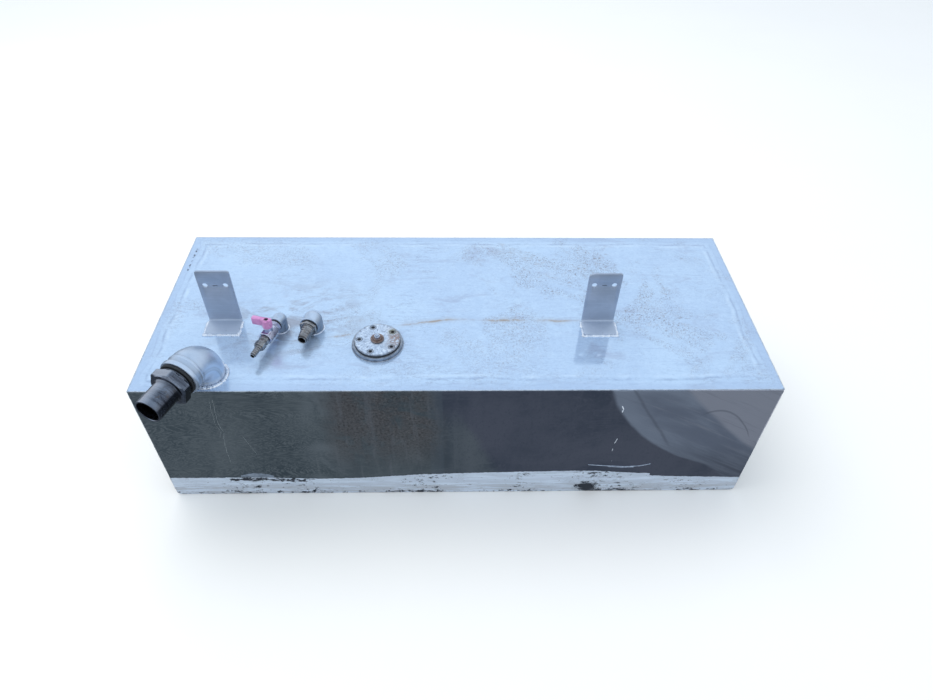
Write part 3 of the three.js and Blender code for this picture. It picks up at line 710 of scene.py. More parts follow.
def clean_front(look, x, z):
    """The polished part of the front: green-grey to blue-grey, with a brown patch and a pale right end. The
    zones of tone, the dark band and the ripples are painted reflection of the ground.
    """
    tone, gloss, height = mirror_tone(look, (0.185, 0.23, 0.25), (0.36, 0.4, 0.405))
    cool, _, _ = mirror_tone(look, (0.155, 0.18, 0.235), (0.27, 0.28, 0.34))
    bend = (look.noise(8, 4, 0.6) - 0.5) * 0.05
    # Painted reflection: the green-grey and blue-grey zones stand for the ground mirrored in the sheet.
    green = (x + z * 0.41 + bend).ramp(0.1, 0.075) * z.ramp(0.225, 0.15)
    bluish = (x + bend).ramp(-0.055, -0.015) * (1.0 - green * 0.65)
    tone = tone.to(cool, bluish)

    flow = look.noise((5, 5, 17), 6, 0.6, 2.2)
    ripples = look.maths("PINGPONG", flow * 9.0, 0.5).near(0.25, 0.2) * x.ramp(-0.14, -0.24)
    # Painted reflection: a dark band, ripples, a pale patch and a strip at the left.
    tone = tone.to((0.15, 0.19, 0.21), x.near(-0.285, 0.075) * 0.75)
    tone = tone.to((0.42, 0.46, 0.46), ripples * 0.85)
    pale = x.near(-0.205, 0.055) * look.noise(13, 5, 0.6, 0.6).ramp(0.42, 0.62)
    tone = tone.to((0.45, 0.49, 0.5), pale * 0.85)
    strip = (x + bend * 0.2).window(-0.043, -0.026, 0.004) * 0.35
    tone = tone.to((0.31, 0.37, 0.42), strip)

    patch = (x + bend + bend).window(-0.155, -0.06, 0.05) * z.ramp(0.04, 0.17)
    patch = patch * look.noise(17, 5, 0.7, 0.5, move=(0, 0, 3)).ramp(0.3, 0.5)
    brown_mottle = look.noise(24, 6, 0.75, 0.6).ramp(0.3, 0.52)
    tone = tone.to((0.3, 0.28, 0.27), patch * brown_mottle * 0.9)
    grain = look.noise(260, 4, 0.75, 0.3)
    tone = tone.to((0.12, 0.11, 0.11), patch * grain.ramp(0.52, 0.6) * 0.65)
    tone = tone.to((0.48, 0.45, 0.43), patch * grain.ramp(0.46, 0.38) * 0.6)

    brushed = look.noise((70, 70, 7), 5, 0.7, 0.4)
    streaks = (x + bend).window(-0.17, -0.05, 0.03) * brushed.ramp(0.5, 0.68)
    tone = tone.to((0.46, 0.47, 0.49), streaks * 0.45)
    return pale_end(look, x, z, tone), gloss, height


def front_look():
    """Dark mirror sheet, and along its foot a pale band with a ragged top edge and dark flecks: painted
    reflection of the pale ground before it.
    """
    look = Look("front_steel")
    x, z = look.axis(0), look.axis(2)
    tone, gloss, height = clean_front(look, x, z)

    # Painted reflection: the pale band along the foot stands for the pale ground mirrored in the sheet, its
    # ragged top edge, flecks and gaps included.
    reflected_band_top = x.line(-HALF_WIDTH * MM, HALF_WIDTH * MM).curve(
        (0.0, 0.46), (0.16, 0.44), (0.28, 0.405), (0.45, 0.51), (0.64, 0.56), (0.72, 0.57),
        (0.83, 0.49), (1.0, 0.43),
    )
    edge_jitter = (look.noise(70, 6, 0.75) - 0.5) * 0.006
    below = reflected_band_top * 0.1 + edge_jitter - x.ramp(0.312, 0.3135, 0.0, 0.006) - z
    inside = below.ramp(0.0, 0.0008)

    jag = look.noise((90, 90, 210), 5, 0.8, 0.3)
    low = z.ramp(0.01, 0.002, 0.0, 0.09)
    busy = look.noise(12, 3, 0.5, 0.0, move=(1.7, 0, 0)).ramp(0.42, 0.6, -0.03, 0.055)
    dark_flecks = (jag + low + busy).ramp(0.622, 0.634)
    ragged = below.near(0.006, 0.009) * x.window(-0.368, -0.25, 0.006)
    ragged = (ragged * 0.25 + jag).ramp(0.67, 0.69)
    spot = look.distance((x - 0.212) * 0.62, z - 0.014)
    spot = (spot * 26.0 + jag * 1.1).ramp(0.86, 0.82)
    dark_gaps = look.maths("MAXIMUM", dark_flecks, look.maths("MAXIMUM", ragged, spot))
    pale_band = inside * (1.0 - dark_gaps)

    streak = look.noise((14, 14, 170), 6, 0.7, 0.4)
    band_tone = look.mix(streak.ramp(0.32, 0.72), (0.55, 0.64, 0.76), (0.67, 0.76, 0.87))
    # Painted reflection: the band darker and greyer towards its bottom.
    darker_patches = z.ramp(0.032, 0.012, 0.25, 0.9) * streak.ramp(0.62, 0.4)
    band_tone = band_tone.to((0.47, 0.5, 0.54), darker_patches)
    hair = streak.near(0.5, 0.011) * look.noise(25, 3).ramp(0.46, 0.56)
    band_tone = band_tone.to((0.2, 0.21, 0.24), hair * 0.75)

    # Painted reflection: near-black gaps in the band and a dark line along its top edge, then the band's
    # tone.
    tone = tone.to((0.03, 0.035, 0.045), dark_gaps * inside)
    tone = tone.to((0.06, 0.07, 0.09), below.near(-0.0006, 0.0012) * 0.5)
    tone = tone.to(band_tone, pale_band)
    normal = look.bumped(height + pale_band * 1.2, 0.25, 0.0004)
    return look.done(tone, gloss + pale_band * 0.35, 1.0 - inside * 0.8, normal)


def side_look():
    """The same polished sheet on the ends, bottom and back, less marked."""
    look = Look("side_steel")
    tone, gloss, height = mirror_tone(look, (0.27, 0.31, 0.34), (0.37, 0.41, 0.45))
    specks = look.noise(420, 3, 0.7).ramp(0.62, 0.68) * look.noise(9, 3).ramp(0.5, 0.62)
    tone = tone.to((0.13, 0.12, 0.12), specks * 0.6)
    return look.done(tone, gloss, 1.0, look.bumped(height, 0.25, 0.0004))


def bracket_look():
    """Flat bar: dull, with fine rolling lines, a few dark scuffs and painted highlight low down."""
    look = Look("bracket_steel")
    lines = look.noise((30, 900, 900), 4, 0.6, 0.1)
    cloud = look.noise(28, 5, 0.6, 0.4)
    tone = look.mix(cloud.ramp(0.35, 0.7), (0.34, 0.4, 0.5), (0.42, 0.48, 0.59))
    tone = tone.to((0.54, 0.6, 0.71), lines.ramp(0.5, 0.8, 0.0, 0.35))
    # Painted highlight: the upright lightened towards its foot, and the foot lighter still.
    height_up = look.axis(2) - LID_TOP * MM
    tone = tone.to((0.5, 0.58, 0.7), height_up.ramp(0.06, 0.01, 0.0, 0.3))
    foot = height_up.ramp(0.012, 0.004)
    tone = tone.to((0.42, 0.51, 0.64), foot * 0.3)
    scuff = look.noise(160, 4, 0.7).ramp(0.62, 0.7) * cloud.ramp(0.48, 0.6)
    tone = tone.to((0.14, 0.14, 0.17), scuff * 0.6)
    height = lines * 0.4 + cloud * 0.6
    metal = 0.65 - foot * 0.2
    return look.done(tone, lines.ramp(0.3, 0.7, 0.52, 0.4), metal, look.bumped(height, 0.3, 0.0002))


def bead_look():
    """Weld bead: bright ripples with patches of straw heat tint."""
    look = Look("weld_bead")
    cloud = look.noise(90, 4, 0.6, 0.5)
    fine = look.noise(700, 3, 0.6)
    tone = look.mix(cloud.ramp(0.35, 0.6), (0.62, 0.7, 0.82), (0.86, 0.9, 0.96))
    tint = look.noise(55, 3, 0.6, 0.3, move=(1, 2, 3)).ramp(0.58, 0.72)
    tone = tone.to((0.45, 0.38, 0.33), tint * 0.55)
    return look.done(tone, fine.ramp(0.3, 0.7, 0.22, 0.42), 0.9, look.bumped(fine, 0.3, 0.0003))


def rubber_look():
    """Black rubber, dusty in patches."""
    look = Look("black_rubber")
    fine = look.noise(1200, 3, 0.6)
    dusty = look.noise(60, 5, 0.65, 0.3)
    tone = look.mix(dusty.ramp(0.45, 0.75, 0.0, 0.7), (0.012, 0.014, 0.017), (0.06, 0.06, 0.06))
    return look.done(tone, dusty.ramp(0.3, 0.7, 0.55, 0.85), 0.0, look.bumped(fine, 0.3, 0.0002))


def paint_look():
    """Faded pink lever paint: chalky patches and dark dirty patches."""
    look = Look("pink_paint")
    cloud = look.noise(120, 5, 0.65, 0.3)
    fine = look.noise(900, 3, 0.6)
    tone = look.mix(cloud.ramp(0.35, 0.7), (0.5, 0.19, 0.42), (0.64, 0.3, 0.54))
    grime_and_shade = look.noise(260, 4, 0.7, 0.2, move=(2, 0, 1)).ramp(0.6, 0.72)
    tone = tone.to((0.3, 0.12, 0.24), grime_and_shade * 0.45)
    rough = cloud.ramp(0.3, 0.7, 0.34, 0.5)
    return look.done(tone, rough, 0.0, look.bumped(cloud + fine, 0.25, 0.0002), coat=0.15)


def round_places(look):
    """Angle and distance about the sender's middle, and the distance from its nearest screw."""
    local = look.mapped(move=(-SENDER["x"] * MM, -SENDER["y"] * MM, 0))
    x, y = look.axis(0, local), look.axis(1, local)
    angle = look.maths("ARCTAN2", y, x)
    far = look.distance(x, y)
    step = FULL_TURN / SENDER["screws"]
    turn = look.maths("WRAP", angle, step, 0.0) - step / 2
    across = far * look.maths("SINE", turn)
    out = far * look.maths("COSINE", turn) - SENDER["pitch"] * MM
    return angle, far, look.distance(across, out)


def flange_look():
    """Sender plate: whitish marks running out from the middle, rust and green staining, dirt round the
    screws, their middles near-black with dirt and painted shade.
    """
    look = Look("sender_plate")
    angle, far, screw = round_places(look)
    wheel = look.node("ShaderNodeCombineXYZ", {0: angle * 5.0, 1: far * 70.0})
    rays = look.noise(1.9, 5, 0.75, 0.3, wheel)
    cloud = look.noise(110, 6, 0.7, 0.5)
    tone = look.mix(cloud.ramp(0.35, 0.7), (0.46, 0.56, 0.7), (0.64, 0.75, 0.9))
    tone = tone.to((0.82, 0.91, 0.99), rays.ramp(0.52, 0.64, 0.0, 0.85))
    tone = tone.to((0.13, 0.165, 0.25), rays.ramp(0.46, 0.37, 0.0, 0.7))

    side = angle.near(0.05, 1.35) * far.ramp(0.012, 0.022)
    rust = side * look.noise(190, 6, 0.8, 0.6).ramp(0.435, 0.505)
    tone = tone.to((0.19, 0.12, 0.095), rust * 0.85)
    green = angle.near(0.66, 0.34) * far.near(0.027, 0.009)
    tone = tone.to((0.3, 0.31, 0.12), green * look.noise(260, 4, 0.7).ramp(0.38, 0.5) * 0.85)
    rim = far.ramp(0.0315, 0.0335)
    tone = tone.to((0.15, 0.155, 0.17), rim * cloud.ramp(0.4, 0.6, 0.2, 0.8))
    soot = (screw + cloud * 0.002).ramp(0.0072, 0.0048)
    tone = tone.to((0.12, 0.125, 0.15), soot * 0.45)
    # Dirt and painted shade: the screws' sockets and middles near-black.
    hole = screw.ramp(0.0033, 0.0028)
    tone = tone.to((0.012, 0.012, 0.016), hole * 0.9)

    rough = cloud.ramp(0.3, 0.7, 0.35, 0.5) + (rust + hole) * 0.3
    metal = 0.75 - look.maths("MAXIMUM", rust, hole) * 0.7
    height = rays * 0.5 + rust * 1.0 + cloud * 0.5
    return look.done(tone, rough, metal, look.bumped(height, 0.5, 0.0003))


def plastic_look(name, dark, light):
    """Dull plastic, paint or a thin sheet, clouded between two tones."""
    look = Look(name)
    cloud = look.noise(110, 4, 0.6)
    fine = look.noise(1500, 2, 0.5)
    tone = look.mix(cloud.ramp(0.3, 0.7), dark, light)
    return look.done(tone, fine.ramp(0.3, 0.7, 0.42, 0.58), 0.0, look.bumped(fine, 0.2, 0.0001))


LID = lid_look()
FRONT = front_look()
SIDE = side_look()
BRACKET_STEEL = bracket_look()
BEAD = bead_look()
RUBBER = rubber_look()
PINK = paint_look()
PLATE = flange_look()
CAST = worn_metal(
    "satin_casting", (0.43, 0.53, 0.67), (0.55, 0.66, 0.81), (0.33, 0.42), 1100, 22, metal=0.88,
)
# Painted shade: the small elbows darkened on faces that look right and down.
SMALL_CAST = worn_metal(
    "small_casting", (0.43, 0.53, 0.67), (0.58, 0.69, 0.84), (0.30, 0.40), 1100, 60, (0.30, 0.33, 0.38),
    metal=0.88, painted_shade=((0.85, -0.1, -0.5), 0.5),
)
SEAM_STEEL = worn_metal(
    "seam_weld", (0.36, 0.43, 0.53), (0.62, 0.70, 0.80), (0.3, 0.45), 900, 90, (0.20, 0.20, 0.22),
)
RING = worn_metal(
    "ring_steel", (0.21, 0.24, 0.285), (0.37, 0.415, 0.48), (0.35, 0.5), 900, 150, (0.13, 0.10, 0.09),
)
# Painted highlight on the filler tail's faces that look up and left, painted shade on those that look right
# and down.
DARK_IRON = worn_metal(
    "dark_iron", (0.040, 0.047, 0.066), (0.185, 0.215, 0.27), (0.14, 0.27), 800, 60, (0.115, 0.095, 0.082),
    heading=FILLER["heading"], dust_and_painted_highlight=(0.48, 0.52, 0.60), painted_shade=((0.75, 0.0, -0.66), 0.78),
)
BRONZE = worn_metal(
    "dull_bronze", (0.095, 0.092, 0.095), (0.37, 0.38, 0.40), (0.20, 0.38), 900, 110, (0.20, 0.145, 0.075),
)
NICKEL = worn_metal(
    "dull_nickel", (0.27, 0.28, 0.42), (0.60, 0.63, 0.78), (0.20, 0.36), 900, 120, (0.17, 0.13, 0.19),
)
ZINC = worn_metal(
    "zinc_nut", (0.42, 0.52, 0.68), (0.66, 0.77, 0.92), (0.25, 0.4), 900, 200, (0.25, 0.27, 0.33),
)
COPPER = worn_metal(
    "rusty_copper", (0.15, 0.10, 0.085), (0.34, 0.26, 0.235), (0.4, 0.7), 900, 170, (0.28, 0.31, 0.36),
)
SCREW_STEEL = worn_metal("grimy_screw", (0.022, 0.022, 0.028), (0.07, 0.07, 0.085), (0.4, 0.7), 900, 200)
MILL = worn_metal("mill_steel", (0.36, 0.39, 0.42), (0.50, 0.53, 0.56), (0.3, 0.5), 800, 30)
NYLON = plastic_look("black_nylon", (0.015, 0.015, 0.017), (0.035, 0.035, 0.037))
PTFE = plastic_look("white_ptfe", (0.70, 0.70, 0.68), (0.82, 0.82, 0.80))
SCRATCH = plastic_look("pale_scratch", (0.22, 0.25, 0.27), (0.34, 0.37, 0.39))
SMEAR = plastic_look("pale_smear", (0.34, 0.40, 0.50), (0.50, 0.58, 0.70))
# A sheet put where the front only mirrors a pale thing: painted reflection.
REFLECTION_SHEET = plastic_look("reflection_sheet", (0.11, 0.14, 0.18), (0.22, 0.27, 0.34))
DRIP = plastic_look("white_drip", (0.60, 0.66, 0.74), (0.80, 0.85, 0.90))
SCRIBE = plastic_look("dark_scribe", (0.02, 0.02, 0.025), (0.05, 0.05, 0.06))

# ---------------------------------------------------------------- sheet metal


def bulge(across, up, seed):
    """How far a flat sheet sinks in, in millimetres: none at its edges, uneven in the middle."""
    steep_across, steep_up = 8, 5
    cells_across, cells_up = 5, 1.6
    usual, uneven = 0.7, 0.55
    fade = min(1, steep_across * across * (1 - across)) * min(1, steep_up * up * (1 - up))
    return fade * (usual + uneven * noise.noise(Vector((across * cells_across, up * cells_up, seed))))


def share_of_width(x):
    """How far along the tank's width a place is, from 0 at the left to 1 at the right."""
    return (x + HALF_WIDTH) / 2 / HALF_WIDTH


def front_sink(x, z):
    """How far the front sheet sinks in at a place."""
    return bulge(share_of_width(x), z / LID_UNDERSIDE, FRONT_BULGE)


def panel(rows, thickness):
    """A sheet from rows of outer points; thickness is the vector from its outer to its inner face."""
    count = len(rows[0])
    outer = [point for row in rows for point in row]
    inner = [point + thickness for point in outer]
    total = len(outer)
    faces = []
    for i in range(len(rows) - 1):
        for j in range(count - 1):
            here, above = i * count + j, (i + 1) * count + j
            corners = (here, here + 1, above + 1, above)
            faces.append(corners)
            faces.append(tuple(corners[k] + total for k in (0, 3, 2, 1)))
    rim = list(range(count))
    rim += [i * count + count - 1 for i in range(1, len(rows))]
    rim += [(len(rows) - 1) * count + j for j in range(count - 2, -1, -1)]
    rim += [i * count for i in range(len(rows) - 2, 0, -1)]
    for here, ahead in zip(rim, rim[1:] + rim[:1]):
        faces.append((here, ahead, ahead + total, here + total))
    return outer + inner, faces


def corner_steps(half, radius, steps=6, middle=120):
    """Places from one end to the other, close together round the end corners."""
    ends = [radius * (1 - math.cos(RIGHT_ANGLE * i / steps)) for i in range(steps + 1)]
    inner = half - radius
    low = [-half + e for e in ends]
    return low + [-inner + 2 * inner * i / middle for i in range(1, middle)] + [-p for p in reversed(low)]


def corner_cut(distance, radius):
    """How far a rounded corner eats in, at a distance from the end."""
    if distance >= radius:
        return 0.0
    return radius - math.sqrt(max(0.0, radius ** 2 - (radius - distance) ** 2))


def face_panel(name, side, look, seed):
    """The front (side -1) or back (side 1) sheet, with rounded bottom corners."""
    levels = 44
    rows = []
    for i in range(levels + 1):
        row = []
        for x in corner_steps(HALF_WIDTH - SEAM_GAP, END_RADIUS):
            bottom = corner_cut(HALF_WIDTH - abs(x), END_RADIUS)
            z = bottom + (LID_UNDERSIDE - bottom) * i / levels
            sink = bulge(share_of_width(x), i / levels, seed)
            row.append(Vector((x, side * (HALF_DEPTH - sink), z)))
        rows.append(row)
    made = piece(name, panel(rows, Vector((0, -side * SHEET, 0))), look, crease=40)
    rounded_edges(made, 0.5, 60)


def wrapper_outline(inset):
    """The (x, z) outline of the left end, the bottom and the right end, an inset from the outside."""
    levels = 30
    bends = 8
    across = 60
    radius = END_RADIUS - inset
    half = HALF_WIDTH - HAIR
    centre = half - END_RADIUS
    drop = END_RADIUS - LID_UNDERSIDE
    left = [(-half + inset, LID_UNDERSIDE + drop * i / levels) for i in range(levels)]
    for i in range(bends + 1):
        turn = RIGHT_ANGLE * i / bends
        left.append((-centre - radius * math.cos(turn), END_RADIUS - radius * math.sin(turn)))
    flat = [(-centre + 2 * centre * i / across, inset) for i in range(1, across)]
    return left + flat + [(-x, z) for x, z in reversed(left)]


def shell_wrapper():
    """Bottom and two ends in one sheet, bent with rounded corners."""
    outline = wrapper_outline(0) + list(reversed(wrapper_outline(SHEET)))
    ends = HALF_DEPTH - SHEET
    steps = 40
    rings = []
    for i in range(steps + 1):
        ring = []
        for x, z in outline:
            inward = 0
            if z > END_RADIUS:
                inward = bulge(i / steps, z / LID_UNDERSIDE, RIGHT_BULGE if x > 0 else LEFT_BULGE)
            ring.append(Vector((x - math.copysign(inward, x), -ends + 2 * ends * i / steps, z)))
        rings.append(ring)
    piece("shell_wrapper", skin(rings, False), SIDE, crease=40)


def lid():
    """The lid: flat in the middle, its border dropping slightly outside a soft pressed line."""
    border_drop = 0.7
    border = 26
    slope = 8
    calm_border = 40
    swell_length, swell_height = 70, 0.2
    rows = []
    for y in corner_steps(HALF_DEPTH - SEAM_GAP, LID_CORNER, 4):
        row = []
        half = HALF_WIDTH - SEAM_GAP - corner_cut(HALF_DEPTH - SEAM_GAP - abs(y), LID_CORNER)
        for share in corner_steps(1.0, LID_CORNER / HALF_WIDTH, 3):
            x = share * half
            edge = min(HALF_WIDTH - abs(x), HALF_DEPTH - abs(y))
            drop = border_drop * min(1, max(0, (border - edge) / slope))
            swell = min(1, edge / calm_border) * abs(wobble(x, y, 0, swell_length, swell_height))
            row.append(Vector((x, y, LID_TOP - drop - swell)))
        rows.append(row)
    made = piece("lid_sheet", panel(rows, Vector((0, 0, -SHEET + border_drop))), LID)
    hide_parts("top_panel")
    for fitting in (FILLER, OUTLET, VENT, SENDER):
        cut_opening(made, fitting)


def cut_opening(made, fitting):
    """Cuts a fitting's round opening through the lid."""
    beyond = 9
    radius = fitting["opening"]
    plug = placed(turned([(-beyond, radius), (beyond, radius)], count=48), on_lid(fitting))
    cutter = linked("opening_cutter", mesh_of("opening_cutter", plug))
    opening = made.modifiers.new("opening", "BOOLEAN")
    opening.object = cutter
    opening.solver = "EXACT"
    settled = evaluated_mesh(made)
    made.modifiers.clear()
    made.data = settled
    bpy.data.objects.remove(cutter)


def flat_outline(points, holes, thickness, edge):
    """A flat plate from an outline and round (x, y, radius) holes, its edges rounded, as a mesh."""
    curve = bpy.data.curves.new("outline", "CURVE")
    curve.dimensions = "2D"
    curve.fill_mode = "BOTH"
    curve.extrude = (thickness / 2 - edge) * MM
    curve.bevel_depth = edge * MM
    curve.bevel_resolution = 1
    curve.offset = -edge * MM
    for ring in [points] + [circle(radius, 40, x, y) for x, y, radius in holes]:
        spline = curve.splines.new("POLY")
        spline.points.add(len(ring) - 1)
        for target, (x, y) in zip(spline.points, ring):
            target.co = (x * MM, y * MM, 0, 1)
        spline.use_cyclic_u = True
    holder = linked("outline", curve)
    mesh = evaluated_mesh(holder)
    bpy.data.objects.remove(holder)
    return mesh


def rounded_corners(left, bottom, right, top, radius, top_left=None, steps=6):
    """A rectangle's outline with rounded corners, anticlockwise from the lower left."""
    last = top_left or radius
    corners = (
        (left + radius, bottom + radius, 2, radius), (right - radius, bottom + radius, 3, radius),
        (right - radius, top - radius, 0, radius), (left + last, top - last, 1, last),
    )
    points = []
    for x, y, quarter, reach in corners:
        for i in range(steps + 1):
            angle = (quarter + i / steps) * RIGHT_ANGLE
            points.append((x + reach * math.cos(angle), y + reach * math.sin(angle)))
    return points


def bracket(name, x, back, height, holes, top_left=None):
    """An angle bracket, made flat with its holes and rounded edges and then folded."""
    width, sheet, bend, foot = sizes(BRACKET, "width sheet bend foot")
    outer = bend + sheet
    arc = (bend + sheet / 2) * RIGHT_ANGLE
    foot_length = foot - outer
    length = foot_length + arc + height - outer
    outline = rounded_corners(-width / 2, 0, width / 2, length, BRACKET["corner"], top_left)
    hole_level = foot_length + arc + holes - outer
    drilled = [(side * BRACKET["spacing"] / 2, hole_level, BRACKET["hole"]) for side in (-1, 1)]
    flat = bmesh.new()
    flat.from_mesh(flat_outline(outline, drilled, sheet, 0.45))
    bmesh.ops.remove_doubles(flat, verts=flat.verts, dist=TINY)
    folds = 8
    for i in range(folds + 1):
        level = (foot_length + arc * i / folds) * MM
        everything = flat.verts[:] + flat.edges[:] + flat.faces[:]
        bmesh.ops.bisect_plane(flat, geom=everything, plane_co=(0, level, 0), plane_no=(0, 1, 0))
    folded = []
    for vert in flat.verts:
        across, along = vert.co.x / MM, vert.co.y / MM
        depth = vert.co.z / MM + sheet / 2
        if along <= foot_length:
            spot = (across, -foot + along, depth)
        elif along >= foot_length + arc:
            spot = (across, -depth, outer + along - foot_length - arc)
        else:
            turn = (along - foot_length) / arc * RIGHT_ANGLE
            reach = outer - depth
            spot = (across, -outer + reach * math.sin(turn), outer - reach * math.cos(turn))
        folded.append(Vector(spot))
    shape = (folded, [tuple(v.index for v in f.verts) for f in flat.faces])
    flat.free()
    place = Matrix.Translation((x, back, LID_TOP))
    piece(name, shape, BRACKET_STEEL, place=place, crease=30)
    proud = 0.02
    mark = [Vector((t, -sheet - proud, holes + wobble(t, 0, x, 4, 0.6))) for t in range(-4, 5)]
    radii = [0.4 if abs(p.x) < 4 else 0.1 for p in mark]
    piece(f"{name}_scribe", tube_along(mark, radii, 6), SCRIBE, place=place)


# ---------------------------------------------------------------- welds


def bead(name, path, radius, closed=False, pitch=2.6, rough=0.25, seed=0.0, slot="bracket", look=BEAD):
    """A hand-laid weld bead along a path: ripples, lumps and uneven width."""
    step = 0.5
    ripple_height = 0.09
    lump_length = 4.2
    tapered = 4
    points, radii = [], []
    run = 0.0
    ahead = path[1:] + (path[:1] if closed else [])
    for here, after in zip(path, ahead):
        steps = max(1, round((after - here).length / step))
        for i in range(steps):
            ripple = ripple_height * math.cos(FULL_TURN * run / pitch)
            lump = rough * noise.noise(Vector((run / lump_length, seed, 0))) * 1.6
            aside, along = (wobble(run, seed, way, 5, 0.5) for way in (1, 2))
            drift = Vector((aside, along, 0)) * radius * 0.4
            points.append(here.lerp(after, i / steps) + drift)
            radii.append(radius * (1 + ripple + lump))
            run += step
    if not closed:
        for i in range(tapered):
            radii[i] *= 0.3 + 0.7 * i / tapered
            radii[-1 - i] *= 0.3 + 0.7 * i / tapered
    piece(name, tube_along(points, radii, 12, closed, 0.8), look, crease=60)


def foot_ring(name, fitting, ring, radius, pitch, seed, slot="elbow", look=BEAD):
    """The bead round a fitting's foot on the lid."""
    lift = 0.2
    rough = 0.35
    place = on_lid(fitting)
    path = [place @ Vector((x, y, lift)) for x, y in circle(ring, 72)]
    bead(name, path, radius, True, pitch, rough, seed, slot, look)


def foot_beads(name, x, back):
    """The crude bead round a bracket's foot: along one side, the front and the other side."""
    clear = 0.8
    lift = 0.4
    half = BRACKET["width"] / 2 + clear
    front = back - BRACKET["foot"] - clear
    rear = back - BRACKET["sheet"]
    corners = [(-half, rear), (-half, front), (half, front), (half, rear)]
    path = [Vector((x + cx, cy, LID_TOP + lift)) for cx, cy in corners]
    bead(f"{name}_weld", path, 2.5, pitch=3.1, rough=0.4, seed=x)


def seam_beads():
    """Thin ground-down beads where the lid meets the walls, and up the four corners."""
    inset = 1.15
    radius = 0.85
    half_x = HALF_WIDTH - inset
    half_y = HALF_DEPTH - inset
    ground = {"pitch": 2.3, "rough": 0.16, "slot": "wrapper", "look": SEAM_STEEL}
    corners = {"front_left": (-1, -1), "front_right": (1, -1), "back_left": (-1, 1), "back_right": (1, 1)}
    around = ("front_left", "front_right", "back_right", "back_left")
    top = [Vector((corners[c][0] * half_x, corners[c][1] * half_y, LID_TOP - inset)) for c in around]
    bead("lid_seam_weld", top, radius, closed=True, seed=4.0, **ground)
    for label, (side_x, side_y) in corners.items():
        path = [Vector((side_x * half_x, side_y * half_y, z)) for z in (END_RADIUS + 1, LID_UNDERSIDE - 1)]
        bead(f"{label}_corner_weld", path, radius, seed=side_x + side_y, **ground)


# ---------------------------------------------------------------- marks on the front


def ribbon(name, points, radius, look):
    """A thin raised trace on the front sheet, through (x, z) points."""
    path = []
    proud = 0.08
    surface = -HALF_DEPTH - proud
    for (x1, z1), (x2, z2) in zip(points, points[1:]):
        steps = max(2, round(math.hypot(x2 - x1, z2 - z1) / 2))
        for i in range(steps):
            t = i / steps
            x = x1 + (x2 - x1) * t
            z = z1 + (z2 - z1) * t
            path.append(Vector((x + wobble(x, z, 0, 9, 0.8), surface + front_sink(x, z), z)))
    radii = [radius * (0.75 + 0.5 * abs(noise.noise(p / 7))) for p in path]
    radii[0] = radii[-1] = 0.05
    piece(name, tube_along(path, radii, 6), look)


def reflection_flap():
    """A thin tongue-shaped sheet standing a little off the front at the pale band's top edge, put where the
    sheet only mirrors a pale thing on the ground.
    """
    left, width = -350, 52
    crest_level, crest_rise = 49, 8
    foot_level, foot_fall = 46.5, 3.5
    standing = 0.55
    across, up = 36, 8
    rows = []
    for i in range(up + 1):
        row = []
        for j in range(across + 1):
            x = left + width * j / across
            rise = math.sin(math.pi * j / across) ** 0.7
            crest = crest_level + crest_rise * rise * (1 - 0.35 * j / across) + wobble(x, 3, 0, 5, 1.2)
            foot = foot_level - foot_fall * j / across
            z = foot + (crest - foot) * i / up
            lift = standing * math.sin(math.pi * i / up) + 0.1
            sink = front_sink(x, z)
            row.append(Vector((x, -HALF_DEPTH + sink - min(lift, sink - 0.05) * 0.5, z)))
        rows.append(row)
    piece("front_reflection_flap", panel(rows, Vector((0, 0.15, 0))), REFLECTION_SHEET, crease=60)


def front_marks():
    """Two long scratches, a short one and the sheet for a mirrored pale thing at the left, drips and two
    smears at the right.
    """
    long_scratch = [
        (-350, 235), (-352, 213), (-354, 190), (-354, 176), (-351, 161), (-355, 143), (-357, 118),
        (-358, 84),
    ]
    beside = [(x - 4 - i % 2, z + 3) for i, (x, z) in enumerate(long_scratch[:6])]
    marks = (
        ("front_scratch_1", long_scratch, 0.2, SCRATCH),
        ("front_scratch_2", beside, 0.16, SCRATCH),
        ("front_scratch_3", [(-325, 150), (-319, 128), (-312, 102)], 0.15, SCRATCH),
        ("front_drip_1", [(236, 218), (240, 210), (239, 201)], 1.0, DRIP),
        ("front_drip_2", [(243, 141), (241, 126)], 0.55, DRIP),
        ("front_drip_3", [(241, 116), (240, 107)], 0.4, DRIP),
        ("front_drip_4", [(244, 84), (244, 80)], 0.6, DRIP),
        ("front_smear_1", [(207, 73), (235, 70), (268, 67), (292, 69), (311, 75)], 0.7, SMEAR),
    )
    for mark in marks:
        ribbon(*mark)
    reflection_flap()
    ribbon("front_smear_2", [(240, 67.5), (262, 65), (285, 66)], 0.5, SMEAR)


# ---------------------------------------------------------------- filler


